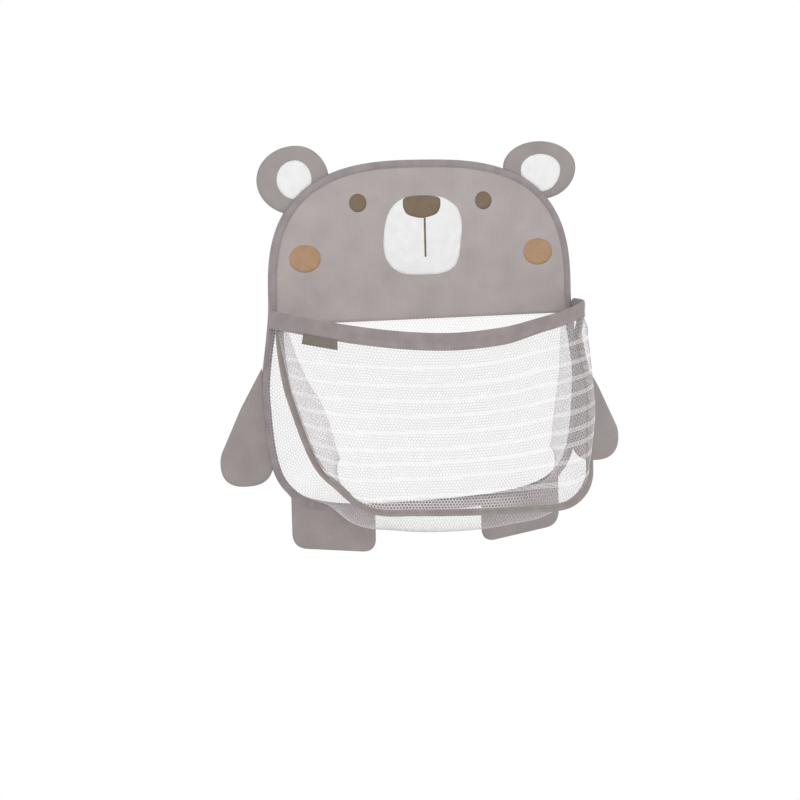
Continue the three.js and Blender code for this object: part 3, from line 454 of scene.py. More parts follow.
# sewing stitches: rice-grain loops of thread laid along a line of points, proud along a normal
stitch = {"swell": ((0.0, 0.3), (0.3, 1.0), (0.7, 1.0), (1.0, 0.3)), "round": (0, 60, 120, 180, 270)}


def stitchRow(name, line, normal, pitch, length, radius):
    run = runOf(line)
    starts = np.arange(pitch / 2, run[-1] - length, pitch)
    spot = pointsAt(starts, run, line)
    along = pointsAt(starts + length, run, line) - spot
    out = unit(pointsAt(starts + length / 2, run, normal))
    sideways = unit(np.cross(along, out))
    points = [spot + along * share + radius * swell * (sideways * math.cos(a) + out * math.sin(a))
              for share, swell in stitch["swell"] for a in np.radians(stitch["round"])]
    one = tubeFaces(len(stitch["swell"]), len(stitch["round"]))
    faces = [[k * len(points) + i for i in face] for k in range(len(starts)) for face in one]
    return makePiece(name, np.stack(points, 1).reshape(-1, 3), faces, threadFinish)


# binding tape: folded round the edge of the panel, thicker over the padded head
binding = {"width": 7.4, "cloth": 0.9, "headHalf": 4.3, "bodyHalf": 2.6, "taper": 26.0, "crown": 0.35,
           "rings": 420, "stitchInset": 6.2, "stitch": (3.6, 2.5, 0.26), "stitchRise": 0.7,
           "floorReach": 4.5, "floorHold": 0.78, "floorTurn": (0.7, 0.97),
           "halfFlat": 12.5, "hiddenFlat": 10.0, "shownPoints": 14, "hiddenPoints": 8}


def bindingHalf(height):
    share = smoothStep(headLower - np.asarray(height), 0, binding["taper"])
    return binding["headHalf"] + (binding["bodyHalf"] - binding["headHalf"]) * share


def tapeInset(inset, nz):  # the tape is folded wider along the floor, where the legs are caught in it
    reach = binding["floorReach"] * smoothStep(-np.asarray(nz), *binding["floorTurn"])
    return inset - reach * (1 - binding["floorHold"] * inset / binding["width"])


def bindingRing(x, z, nx, nz):  # section by inset from the edge and depth from the middle
    half, cloth, width, crown = bindingHalf(z), binding["cloth"], binding["width"], binding["crown"]
    outer = [(width, half - 0.15), (width - 0.5, half + 0.12), (width * 0.62, half + crown),
             (width * 0.3, half + 0.2), (1.1, half - 0.3), (0.35, half - 1.1), (0.0, half * 0.35)]
    inner = [(width, half - cloth), (width * 0.5, half - cloth), (1.6, half - cloth - 0.3),
             (1.0, half * 0.25)]
    section = [(i, -d) for i, d in outer] + outer[::-1] + inner + [(i, -d) for i, d in inner[::-1]]
    section = [(tapeInset(i, nz), d) for i, d in section]
    return [(x - nx * i, midY + d, z - nz * i) for i, d in section]


runs = np.linspace(0, edgeLength, binding["rings"] // 2 + 1)
rings = []
for run, sign in [(r, 1) for r in runs] + [(r, -1) for r in runs[-2:0:-1]]:
    x, z, nx, nz = (float(np.interp(run, edgeRun, row)) for row in (edgeX, edgeZ, outX, outZ))
    rings.append([(sign * px, py, pz) for px, py, pz in bindingRing(x, z, nx, nz)])
rings = np.array(rings)
acrossTape = acrossFold(binding, binding["shownPoints"], binding["hiddenPoints"])
alongTape = np.linspace(0, 2 * edgeLength, len(rings))
bindingTape = sweptPiece("bindingTape", rings, bindingFinish, acrossTape, alongTape,
                         ring=True)
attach(bindingTape, "back")
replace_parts(bindingTape, "body_binding")

stitchFall = np.interp(np.linspace(0, edgeLength, binding["rings"]), edgeRun, outZ)
stitchEdge = wholeEdge(tapeInset(binding["stitchInset"], stitchFall), binding["rings"])
stitchEdge = np.vstack([stitchEdge, stitchEdge[:1]])
stitchDepth = bindingHalf(stitchEdge[:, 1]) + binding["crown"] * binding["stitchRise"]
for skin, sign in (("Front", -1), ("Back", 1)):
    line = np.stack([stitchEdge[:, 0], midY + sign * stitchDepth, stitchEdge[:, 1]], 1)
    normal = np.tile((0.0, sign, 0.0), (len(line), 1))
    row = stitchRow(f"binding{skin}Stitches", line, normal, *binding["stitch"])
    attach(row, "back")
print("binding sewn")


# head: crowned face cloth over a foam pad, with a lining behind that carries the eyelets
head = {"faceFront": -18.8, "faceCloth": 0.8, "foamBack": -13.7, "foamFront": -17.7, "liningBack": -12.6,
        "liningCloth": 0.8, "crown": 0.7, "crownReach": 10.0, "spacing": 4.2, "ripple": 0.22,
        "rippleSize": (23, 27), "rippleDrift": (1.3, 31), "rippleShift": 0.6, "rippleRim": 18,
        "padLift": 0.3, "padSpacing": 6.0, "padPinch": 0.5, "pinchReach": 4.0,
        "liningSpacing": 5.0, "wave": 0.15, "waveSize": (19, 22), "waveShift": 0.8, "waveRim": 12,
        "cupSpread": 95.0, "eyeletHole": 5.1, "knobRecess": 8.3, "flangeReach": (9, 22),
        "facePoints": 130, "padPoints": 110}


def headLoop(inset, lower, count):
    right = np.stack(edgeAt(np.linspace(0, runAtHeight(lower), count), inset), 1)
    right[-1, 1] = lower
    return np.vstack([right, right[-1:0:-1] * (-1, 1)])


def circleLoop(x, z, radius, count=40, high=None):
    a = np.linspace(0, 2 * math.pi, count, endpoint=False)
    return np.stack([x + radius * np.cos(a), z + (radius if high is None else high) * np.sin(a)], 1)


def backHoles(radius):
    return [circleLoop(s * head["cupSpread"], 0, radius) for _, s in sides]


faceLoop = headLoop(panel["edge"], headLower, head["facePoints"])


def faceY(points):  # front of the face cloth, crowned by the foam and lightly rippled
    gap = edgeDistance(points, faceLoop)
    reach = head["crownReach"]
    free = np.where(points[:, 1] < headLower + reach, 1.0, gap / reach)  # held by the binding, not below
    crown = head["crown"] * (1 - np.exp(-gap / reach * 2))
    turns, drift = head["rippleDrift"]
    uneven = ripple(points, *head["rippleSize"], turns * np.sin(points[:, 1] / drift), head["rippleShift"])
    calm = np.clip(gap / head["rippleRim"], 0, 1) * np.clip(free, 0, 1)
    return head["faceFront"] - crown - head["ripple"] * uneven * calm


flat, faces = fillShape(faceLoop, head["spacing"])
front = faceY(flat)
faceCloth = layeredPiece("faceCloth", flat, faces, front, front + head["faceCloth"], faceFinish)
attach(faceCloth, "back")
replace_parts(faceCloth, "head_face_panel")

padLoop = headLoop(panel["edge"], netTop + head["padLift"], head["padPoints"])
flat, faces = fillShape(padLoop, head["padSpacing"], backHoles(head["knobRecess"]))
pinch = head["padPinch"] * np.exp(-edgeDistance(flat, padLoop) / head["pinchReach"])  # by the binding
headPad = layeredPiece("headPad", flat, faces, head["foamFront"] + pinch, head["foamBack"] - pinch,
                       foamFinish)
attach(headPad, "back")
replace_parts(headPad, "head_foam_pad")

flat, faces = fillShape(faceLoop, head["liningSpacing"], backHoles(head["eyeletHole"]))
calm = np.clip(edgeDistance(flat, faceLoop) / head["waveRim"], 0, 1)
wave = head["wave"] * ripple(flat, *head["waveSize"], head["waveShift"], 0) * calm
for _, s in sides:  # drawn flat under the eyelet flanges
    wave *= smoothStep(np.hypot(flat[:, 0] - s * head["cupSpread"], flat[:, 1]), *head["flangeReach"])
backLining = layeredPiece("backLining", flat, faces, head["liningBack"] - head["liningCloth"] + wave,
                          head["liningBack"] + wave, liningFinish)
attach(backLining, "back")
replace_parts(backLining, "head_back_lining")
print("head covered")


# printed face: ink films that lie on the crowned cloth; edges by shares of half width and height
face = {"eyeSpread": 66.4, "eyeRise": 91.9, "eyeRadius": 9.0, "eyeShift": -1.6,
        "cheekSpread": 123.4, "cheekRise": 38.8, "cheekWide": 16.0, "cheekHigh": 13.5,
        "muzzleHalf": 42.3, "muzzleRise": 19.4, "muzzleHeight": 77.6,
        "muzzleEdge": ((21.0 / 42.3, 0.98), (0.86, 0.8), (1, 0.46), (0.93, 0.2), (0.6, 0.035)),
        "muzzleUp": (0, 0.1, 0.17, 0.28, 0.42, 0.63, 0.77, 0.86, 1),
        "muzzleRight": (0, -0.6, -2.4, -3.6, -3.0, 0.6, 1.5, 2.4, 0),  # the print's right half is squarer
        "noseHalf": 19.8, "noseHeight": 22.2, "noseOver": 1.0, "noseShift": -1.4,
        "noseEdge": ((0.55, 0.975), (0.94, 0.88), (1.0, 0.62), (0.95, 0.4), (0.78, 0.18), (0.42, 0.06)),
        "mouthWide": 2.0, "mouthLong": 38.9, "mouthShift": 1.4, "mouthTip": (0.7, 0.3),
        "ink": 0.12, "film": 0.096, "spacing": 3.2, "eyePoints": 48, "cheekPoints": 56}


def printLoop(halfWide, low, tall, edge, count=10):  # smooth outline through both halves of an edge
    half = [(0, low + tall), *((halfWide * out, low + tall * up) for out, up in edge), (0, low)]
    knots = np.array([(-half[1][0], half[1][1]), *half, (-half[-2][0], half[-2][1])], float)
    points = []
    for i in range(1, len(knots) - 2):
        p0, p1, p2, p3 = knots[i - 1:i + 3]
        for s in np.linspace(0, 1, count, endpoint=False):
            points.append(0.5 * (2 * p1 + (p2 - p0) * s + (2 * p0 - 5 * p1 + 4 * p2 - p3) * s ** 2
                                 + (3 * p1 - p0 - 3 * p2 + p3) * s ** 3))
    points.append(knots[-2])
    right = np.array(points)
    return np.vstack([right, right[-2:0:-1] * (-1, 1)])


def inkFilm(name, loop, layer, finish):
    flat, faces = fillShape(loop, face["spacing"])
    front = faceY(flat) - face["ink"] * layer
    film = layeredPiece(name, flat, faces, front, front + face["film"], finish)
    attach(film, "back")
    return film


muzzleLow = base + face["muzzleRise"]
muzzle = printLoop(face["muzzleHalf"], muzzleLow, face["muzzleHeight"], face["muzzleEdge"])
up = (muzzle[:, 1] - muzzleLow) / face["muzzleHeight"]
muzzle[:, 0] += (np.interp(up, face["muzzleUp"], face["muzzleRight"])
                 * smoothStep(muzzle[:, 0], 0, face["muzzleHalf"] / 2))
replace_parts(inkFilm("muzzlePrint", muzzle, 1, whiteInk), "muzzle_patch")
noseLow = muzzleLow + face["muzzleHeight"] + face["noseOver"] - face["noseHeight"]  # over the muzzle's top
nose = printLoop(face["noseHalf"], noseLow, face["noseHeight"], face["noseEdge"]) + (face["noseShift"], 0)
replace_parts(inkFilm("nosePrint", nose, 2, brownInk), "nose_patch")
half, foot = face["mouthWide"] / 2, noseLow - face["mouthLong"]
tipOut, tipUp = face["mouthTip"]
right = np.array([(half, noseLow), (half, foot + half), (half * tipOut, foot + half * tipUp), (0, foot)])
mouth = np.vstack([right, right[-2::-1] * (-1, 1)]) + (face["mouthShift"], 0)
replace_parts(inkFilm("mouthPrint", mouth, 2, brownInk), "mouth_line")
for side, s in sides:
    eye = circleLoop(s * face["eyeSpread"] + face["eyeShift"], base + face["eyeRise"], face["eyeRadius"],
                     face["eyePoints"])
    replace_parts(inkFilm(f"{side}EyePrint", eye, 1, brownInk), f"{side}_eye")
    cheek = circleLoop(s * face["cheekSpread"], base + face["cheekRise"], face["cheekWide"],
                       face["cheekPoints"], face["cheekHigh"])
    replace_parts(inkFilm(f"{side}CheekPrint", cheek, 1, peachInk), f"{side}_cheek")
print("face printed")


# ears, arms and legs: stuffed cloth flaps whose roots are caught in the binding
# ears are recut: each cut gives a shift, and shares of reach to the left, right, down and up
flaps = {"rim": 0.55, "half": 1.9, "seam": 3.2, "crown": 0.9, "crownReach": 12.0, "crownStart": 6.0,
         "ripple": 0.14, "rippleSize": (11, 13), "rippleShift": (1.1, 0.4), "rootTuck": 2.2, "rootPinch": 0.9,
         "pinchReach": 5.0, "spacing": 3.0, "edgeStep": 1.4, "bendReach": 11.0,
         "ear": (128.7, 41.0), "earWide": 40.0, "earHigh": 33.5,
         "earCut": {"left": ((0, 0), (1, 0.82, 1, 1)), "right": ((0, 9.5), (1, 1, 0.97, 0.78))},
         "patch": (130.7, 41.5), "patchRadius": 18.8, "patchTuck": 0.2, "patchInk": 0.2, "patchFilm": 0.16,
         "patchCut": {"left": ((0, 0), (1, 0.88, 1, 1)), "right": ((-1.9, 6.7), (1.16, 1.16, 1.2, 0.82))},
         "apex": (169.0, -140.0), "palm": (186.5, -229.5), "palmRadius": 26.3,
         "palmSquare": 0.78, "palmShort": 0.94, "armBow": 1.8,
         "legInner": (57.0, -330.0), "legOuter": (143.0, -318.5), "legTuck": 35.5, "toe": 15.0,
         "earPoints": 220, "patchPoints": 120, "palmPoints": 60, "toePoints": 14, "panelPoints": 500,
         "cutPoints": 700}
panelLoop = wholeEdge(0, flaps["panelPoints"])


def outsidePanel(loop, tuck):  # a shape's part outside the panel, with its root just inside the edge
    cut = wholeEdge(tuck, flaps["cutPoints"])
    spots = loop[~insideShape(loop, cut)]
    jump = np.linalg.norm(np.roll(spots, -1, 0) - spots, axis=1)
    spots = np.roll(spots, -(int(jump.argmax()) + 1), 0)  # now open between the last and the first
    first, last = (int(np.linalg.norm(cut - spots[k], axis=1).argmin()) for k in (-1, 0))
    count, step = (last - first) % len(cut), 1
    if count >= len(cut) / 2:  # the short way round
        count, step = len(cut) - count, -1
    root = cut[(first + step * np.arange(2, count - 1)) % len(cut)]
    return np.vstack([spots, root])


def denseLoop(corners, gap):
    points = []
    for a, b in zip(corners, np.roll(corners, -1, 0)):
        count = max(int(np.linalg.norm(b - a) / gap), 1)
        points.extend(a + (b - a) * k / count for k in range(count))
    return np.array(points)


def flapDepth(points, loop):  # half thickness: thin at the sewn rim and root, then full with a slight crown
    gap = edgeDistance(points, loop)
    full = flaps["rim"] + (flaps["half"] - flaps["rim"]) * smoothStep(gap, 0, flaps["seam"])
    crown = flaps["crown"] + flaps["ripple"] * ripple(points, *flaps["rippleSize"], *flaps["rippleShift"])
    full += crown * (1 - np.exp(-gap / flaps["crownReach"])) * smoothStep(gap, 0, flaps["crownStart"])
    pinch = flaps["rootPinch"] * np.exp(-edgeDistance(points, panelLoop) / flaps["pinchReach"])
    return np.maximum(full - pinch, flaps["rim"])


def flapPiece(name, rim):
    flat, faces = fillShape(outsidePanel(rim, flaps["rootTuck"]), flaps["spacing"])
    depth = flapDepth(flat, rim)
    return layeredPiece(name, flat, faces, midY - depth, midY + depth, flapFinish)


def sided(kind, shape, side, s):  # a shape on its side, recut if it has a cut
    loop = shape if s > 0 else shape[::-1] * (-1, 1)
    if kind + "Cut" not in flaps:
        return loop
    middle = np.array(flaps[kind]) * (s, 1)
    shift, (left, right, down, up) = flaps[kind + "Cut"][side]
    offset = loop - middle
    return middle + np.array(shift) + offset * np.where(offset < 0, (left, down), (right, up))


def roundCorner(before, corner, after):
    bow = np.linspace(0, 1, flaps["toePoints"])[:, None]
    return (1 - bow) ** 2 * before + 2 * bow * (1 - bow) * corner + bow ** 2 * after


def bendWith(piece):  # bakes the piece's place into its mesh; it is not bent
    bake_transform(piece)


apex, palm = np.array(flaps["apex"]), np.array(flaps["palm"])
reach = apex - palm
spread = math.acos(flaps["palmRadius"] / np.linalg.norm(reach))
lean = math.atan2(reach[1], reach[0])
sweep = np.linspace(lean + spread, lean + 2 * math.pi - spread, flaps["palmPoints"])
turned = np.stack([np.cos(sweep), np.sin(sweep)], 1)
blunt = np.where(turned[:, 1:] < 0, flaps["palmSquare"], 1)  # its lower half is squarer and a little short
turned = np.sign(turned) * np.abs(turned) ** blunt
turned[:, 1] *= np.where(turned[:, 1] < 0, flaps["palmShort"], 1)
palmEdge = palm + flaps["palmRadius"] * turned
slope = unit(apex - palmEdge[-1])
elbow = (apex + palmEdge[-1]) / 2 + flaps["armBow"] * np.array((slope[1], -slope[0]))  # outer side bows out
arm = np.vstack([[apex], palmEdge, [elbow]])

inner, outer = np.array(flaps["legInner"]), np.array(flaps["legOuter"])
sole = unit(outer - inner) * flaps["toe"]
rise = np.array((0, flaps["toe"]))
legTop = bottom + flaps["legTuck"]
leg = np.vstack([[(inner[0], legTop)], roundCorner(inner + rise, inner, inner + sole),
                 roundCorner(outer - sole, outer, outer + rise), [(outer[0], legTop)]])
ear = circleLoop(*flaps["ear"], flaps["earWide"], flaps["earPoints"], flaps["earHigh"])
patch = circleLoop(*flaps["patch"], flaps["patchRadius"], flaps["patchPoints"])

for side, s in sides:
    for kind, shape in (("ear", ear), ("arm", arm), ("leg", leg)):
        rim = denseLoop(sided(kind, shape, side, s), flaps["edgeStep"])
        piece = flapPiece(f"{side}{kind.title()}", rim)
        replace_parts(piece, *(f"{side}_{kind}_{layer}" for layer in ("cover", "interlining", "backing")))
        bendWith(piece)
        if kind == "ear":
            loop = outsidePanel(sided("patch", patch, side, s), flaps["patchTuck"])
            flat, faces = fillShape(loop, flaps["spacing"])
            front = midY - flapDepth(flat, rim) - flaps["patchInk"]
            film = layeredPiece(f"{side}EarPatch", flat, faces, front, front + flaps["patchFilm"], whiteInk)
            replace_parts(film, f"{side}_ear_patch")
            bendWith(film)
print("ears, arms and legs stuffed")


# pocket lines: t runs along the panel's edge from the mouth, 0, to the middle of the floor, 1
pocket = {"hemHeight": 17.0, "hemThick": 2.6, "hemCloth": 0.6, "hemDrop": 18.5, "hemInset": -0.8,
          "hemDepth": 87.0, "hemBend": 3.0, "hemSag": 24.0, "hemSagBend": 1.75, "hemGrip": 6.0, "hemGap": 0.3,
          "hemHitch": 3.0, "hitchRise": (0.3, 0.6), "hitchFall": (0.88, 1.0), "hemTighten": 0.14,
          "tapeWidth": 8.0, "tapeThick": 2.0, "tilt": 0.7, "tiltStart": 0.4, "tiltEnd": 0.66,
          "knots": (0, 0.05, 0.24, 0.4, 0.54, 0.68, 0.82, 1),
          "seamInsets": (4, 6, 15, 22.5, 23.4, 11.5, 12.5, 12.5),
          "seamDepths": (28, 32, 59, 80, 106, 119, 120, 120),
          "foldInsets": (17, 24, 47, 53, 46, -4, -12, -14.5),
          "foldDepths": (13, 16, 46, 55, 56, 58, 63, 65),
          "skew": 8.5, "skewStart": 0.3, "skewEnd": 0.6, "netTuck": -2.5, "corner": 16 / 28,
          "rightPull": 5.0, "pullRise": (0, 0.06), "pullFall": (0.1, 0.32), "seamPoints": 601,
          "hemPoints": 2401}
hemZ = base - pocket["hemDrop"]
hemTop, hemSkin = pocket["hemHeight"] / 2, pocket["hemThick"] / 2
mouthRun = runAtHeight(hemZ - hemTop - pocket["hemGap"])


def alongPocket(values, t):  # smooth curve through the values at the knots
    knots, values = np.array(pocket["knots"], float), np.array(values, float)
    k = np.arange(len(knots))
    low, high = np.maximum(k - 1, 0), np.minimum(k + 1, len(knots) - 1)
    slope = (values[high] - values[low]) / (knots[high] - knots[low])
    slope[-1] = 0
    i = np.searchsorted(knots[1:-1], t)
    span = knots[i + 1] - knots[i]
    s = (t - knots[i]) / span
    return ((2 * s ** 3 - 3 * s ** 2 + 1) * values[i] + (s ** 3 - 2 * s ** 2 + s) * slope[i] * span
            + (3 * s ** 2 - 2 * s ** 3) * values[i + 1] + (s ** 3 - s ** 2) * slope[i + 1] * span)


def pocketPoint(t, inset, depth):
    x, z = edgeAt(mouthRun + (edgeLength - mouthRun) * t, inset)
    return np.stack([x, midY - depth + 0 * x, z], -1)


def bothSides(count):  # t and side, down the left of the pocket and up its right
    down = np.linspace(0, 1, count)
    return np.concatenate([down, down[-2::-1]]), np.repeat((-1.0, 1.0), (count, count - 1))


steps = np.linspace(0, 1, pocket["seamPoints"])
seamLine = pocketPoint(steps, *(alongPocket(pocket[k], steps) for k in ("seamInsets", "seamDepths")))
seamAlong = np.gradient(seamLine, axis=0)
seamAlong[-1] = (-1, 0, 0)
seamAlong = unit(seamAlong)
seamOut = pocketPoint(steps, 0, 0) - pocketPoint(steps, 1, 0)
seamOut = unit(seamOut - (seamOut * seamAlong).sum(1)[:, None] * seamAlong)
seamFront = np.cross(seamOut, seamAlong)
seamFront[seamFront[:, 1] > 0] *= -1
lean = (pocket["tilt"] * smoothStep(steps, pocket["tiltStart"], pocket["tiltEnd"]))[:, None]
seamWide = seamOut * np.cos(lean) + seamFront * np.sin(lean)
seamFace = seamFront * np.cos(lean) - seamOut * np.sin(lean)


def hangAskew(spot, t):  # lower on the right and higher on the left, the more the further forward
    reach = (midY - spot[..., 1]) / pocket["seamDepths"][-1]
    low = smoothStep(t, pocket["skewStart"], pocket["skewEnd"])
    spot[..., 2] -= pocket["skew"] * spot[..., 0] / panel["bodyHalf"] * reach * low
    return spot


def seamPoint(sign, t, outward, forward):
    line, wide, skin = (pointsAt(t, steps, rows) for rows in (seamLine, seamWide, seamFace))
    spot = line + wide * outward + skin * forward
    drawn = pocket["rightPull"] * hump(t, pocket["pullRise"], pocket["pullFall"])
    spot[..., 0] = spot[..., 0] * sign - drawn * np.maximum(sign, 0)  # drawn in under the hem on the right
    return hangAskew(spot, t)


hemHalf = float(edgeAt(runAtHeight(hemZ), pocket["hemInset"] + hemSkin)[0])
hemStart = binding["headHalf"] + pocket["hemGap"]
angle = np.linspace(math.pi, 0, pocket["hemPoints"])
bend = 2 / pocket["hemBend"]
hemX = hemHalf * np.sign(np.cos(angle)) * np.abs(np.cos(angle)) ** bend
hemY = midY - hemStart - (pocket["hemDepth"] - hemStart) * np.abs(np.sin(angle)) ** bend


def hitch(x):  # the hem rides up a little on the right, where it is folded tighter
    return hump(np.asarray(x) / hemHalf, pocket["hitchRise"], pocket["hitchFall"])


sagging = 1 - np.abs(hemX / hemHalf) ** pocket["hemSagBend"]
hemPath = np.stack([hemX, hemY, hemZ - pocket["hemSag"] * sagging + pocket["hemHitch"] * hitch(hemX)], 1)
hemRun = runOf(hemPath)
hemLength = hemRun[-1]


def hemAt(run):
    return pointsAt(run, hemRun, hemPath)


def hemOut(run):
    along = hemAt(np.minimum(np.asarray(run) + 1, hemLength)) - hemAt(np.maximum(np.asarray(run) - 1, 0))
    along[..., 2] = 0
    along = unit(along)
    return np.stack([along[..., 1], -along[..., 0], 0 * along[..., 0]], -1)


def hemSection(run, section):  # points by outward and upward offsets from the hem's middle line
    spot, out = hemAt(run), hemOut(run)
    return [spot + out * o + np.array((0, 0, u)) for o, u in section]


def swingWith(piece):  # bakes the piece's place into its mesh; the pocket's cloth is not moved
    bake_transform(piece)


# hem: a tape folded over a flat strip at the pocket's mouth, puffed over the strip and creased under it
hem = {"puff": 0.45, "puffAt": (0.45, 0.4), "crease": 0.3, "creaseAt": (-0.17, 0.07), "endStart": 0.3,
       "endRound": 5.0, "endRings": 8, "rings": 260, "sway": 0.25, "swayRuns": (17, 41), "swayShift": 0.7,
       "levels": (-1.0, -0.85, -0.6, -0.35, -0.22, -0.12, 0.0, 0.25, 0.5, 0.75, 0.9, 0.98),
       "foldLevel": 0.94, "foldShare": 0.55, "liningLevels": (-1.0, -0.4, 0.3, 0.88), "halfFlat": 19.0,
       "hiddenFlat": 12.0, "stitchUp": 2.0, "stitchTrim": 3.0, "stitchProud": 0.1, "stitch": (3.4, 2.4, 0.25),
       "stripHigh": 9.0, "stripHalf": 0.35, "stripTop": 0.9, "stripBevel": (0.15, 0.3), "stripTrim": 25.0,
       "stripFlat": (0, 9, 9.4, 9.8, 10, 19, 19.4, 19.8), "stripRings": 160, "stitchPoints": 600}
ends = np.linspace(hem["endStart"], hem["endRound"], hem["endRings"], endpoint=False)
middles = np.linspace(hem["endRound"], hemLength - hem["endRound"], hem["rings"])
hemRuns = np.concatenate([ends, middles, hemLength - ends[::-1]])
levels = np.array(hem["levels"])
(puffUp, puffTall), (creaseUp, creaseTall) = hem["puffAt"], hem["creaseAt"]
fat = (np.where(levels > hem["foldLevel"], hemSkin * hem["foldShare"], hemSkin)
       + hem["puff"] * np.exp(-((levels - puffUp) / puffTall) ** 2)
       - hem["crease"] * np.exp(-((levels - creaseUp) / creaseTall) ** 2))
outside = [*zip(fat, levels), (0, 1), *zip(-fat[::-1], levels[::-1])]
lining = hemSkin - pocket["hemCloth"]
within = [(-lining, up) for up in hem["liningLevels"]] + [(lining, up) for up in hem["liningLevels"][::-1]]
rings = []
for run in hemRuns:
    cut = max(hem["endRound"] - min(run, hemLength - run), 0)  # rounded ends
    short = 1 - (hem["endRound"] - math.sqrt(hem["endRound"] ** 2 - cut ** 2)) / hemTop
    tall = hemTop * short * (1 - pocket["hemTighten"] * hitch(hemAt(run)[0]))
    sway = (hem["sway"] * math.sin(run / hem["swayRuns"][0])
            * math.sin(run / hem["swayRuns"][1] + hem["swayShift"]))
    rings.append(hemSection(run, [(o + sway, up * tall) for o, up in outside + within]))
acrossHem = acrossFold(hem, len(outside), len(within))
hemTape = sweptPiece("hemTape", np.array(rings), hemFinish, acrossHem, hemRuns)
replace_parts(hemTape, "pocket_hem")
swingWith(hemTape)

stripRuns = np.linspace(hem["stripTrim"], hemLength - hem["stripTrim"], hem["stripRings"])
bevelIn, bevelDown = hem["stripBevel"]
wide, slim = hem["stripHalf"], hem["stripHalf"] - bevelIn
high, low = hemTop - hem["stripTop"], hemTop - hem["stripTop"] - hem["stripHigh"]
stripSection = [(-wide, low), (-wide, high - bevelDown), (-slim, high), (slim, high),
                (wide, high - bevelDown), (wide, low), (slim, low - bevelDown), (-slim, low - bevelDown)]
stripTall = 1 - pocket["hemTighten"] * hitch(hemAt(stripRuns)[:, 0])
rings = np.array([hemSection(run, [(o, up * tall) for o, up in stripSection])
                  for run, tall in zip(stripRuns, stripTall)])
hemStrip = sweptPiece("hemStrip", rings, boningFinish, hem["stripFlat"], stripRuns)
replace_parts(hemStrip, "hem_boning")
swingWith(hemStrip)

run = np.linspace(hem["stitchTrim"], hemLength - hem["stitchTrim"], hem["stitchPoints"])
line = hemAt(run) + hemOut(run) * (hemSkin + hem["stitchProud"])
line[:, 2] += hem["stitchUp"] - hemTop
hemStitches = stitchRow("hemStitches", line, hemOut(run), *hem["stitch"])
swingWith(hemStitches)
print("hem folded")


# front seam tape: a flat ribbed tape round the front net, standing off it as a flange
seam = {"rings": 150, "edge": 0.3, "shoulder": 1.2, "edgeShare": 0.7, "dips": (-0.9, 0.85),
        "flat": (10, 9, 6, 3, 6, 9), "stitchOut": 0.4, "stitchShare": 0.95, "stitch": (3.6, 2.5, 0.25)}
tapeT, tapeSign = bothSides(seam["rings"])
wide, thick = pocket["tapeWidth"] / 2, pocket["tapeThick"] / 2
low, high = thick * seam["edgeShare"], thick
rim, bulge = wide - seam["edge"], wide - seam["shoulder"]
backDip, frontDip = (thick * dip for dip in seam["dips"])
tapeSection = [(wide, 0), (rim, -low), (bulge, -high), (0, backDip), (-bulge, -high), (-rim, -low),
               (-wide, 0), (-rim, low), (-bulge, high), (0, frontDip), (bulge, high), (rim, low)]
rings = np.stack([seamPoint(tapeSign, tapeT, o, f) for o, f in tapeSection], 1)
tapeRun = runOf(rings[:, 3])
acrossSeam = np.array(seam["flat"] * 2, float)
seamTape = sweptPiece("seamTape", rings, seamFinish, acrossSeam, tapeRun)
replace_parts(seamTape, "front_seam_tape")
swingWith(seamTape)
line = seamPoint(tapeSign, tapeT, seam["stitchOut"], thick * seam["stitchShare"])
normal = seamPoint(tapeSign, tapeT, 0, 1) - seamPoint(tapeSign, tapeT, 0, 0)
seamStitches = stitchRow("seamStitches", line, normal, *seam["stitch"])
swingWith(seamStitches)
print("front seam taped")


# nets: hexagonal knitted mesh of real threads, laid flat and then mapped on each surface
# the real mesh is finer than a pixel, so it is drawn coarser; threads by half width and height
net = {"pitch": 3.2, "front": (0.155, 0.4), "back": (0.07, 0.62), "gussetSide": (0.24, 0.15),
       "gussetFloor": (0.085, 0.045), "gussetTall": 0.47, "innerThin": 0.65, "stripe": (0.2, 0.2),
       "gather": 0.3, "facing": (0.0, -0.99, 0.14), "shortest": 0.15, "ridge": 0.6}


def surfaceAt(grid, a, b):  # bilinear point of a grid of points
    rows, columns = grid.shape[:2]
    p, q = np.clip(a, 0, 1) * (rows - 1), np.clip(b, 0, 1) * (columns - 1)
    i, j = np.minimum(p.astype(int), rows - 2), np.minimum(q.astype(int), columns - 2)
    u, v = (p - i)[:, None], (q - j)[:, None]
    return ((grid[i, j] * (1 - u) + grid[i + 1, j] * u) * (1 - v)
            + (grid[i, j + 1] * (1 - u) + grid[i + 1, j + 1] * u) * v)


def meshLattice(wide, tall, pitch):  # ends of every thread of a honeycomb over a rectangle
    side = pitch / math.sqrt(3)
    rows, columns = np.arange(-1, int(tall / (1.5 * side)) + 2), np.arange(-1, int(wide / pitch) + 2)
    j, i = np.meshgrid(rows, columns, indexing="ij")
    foot = np.stack([pitch * (i + 0.5 * (j % 2)), 1.5 * side * j], -1).reshape(-1, 2)
    knot = foot + (0, side)
    tips = [knot, knot + (-pitch / 2, side / 2), knot + (pitch / 2, side / 2)]
    return np.vstack([foot, knot, knot]), np.vstack(tips)


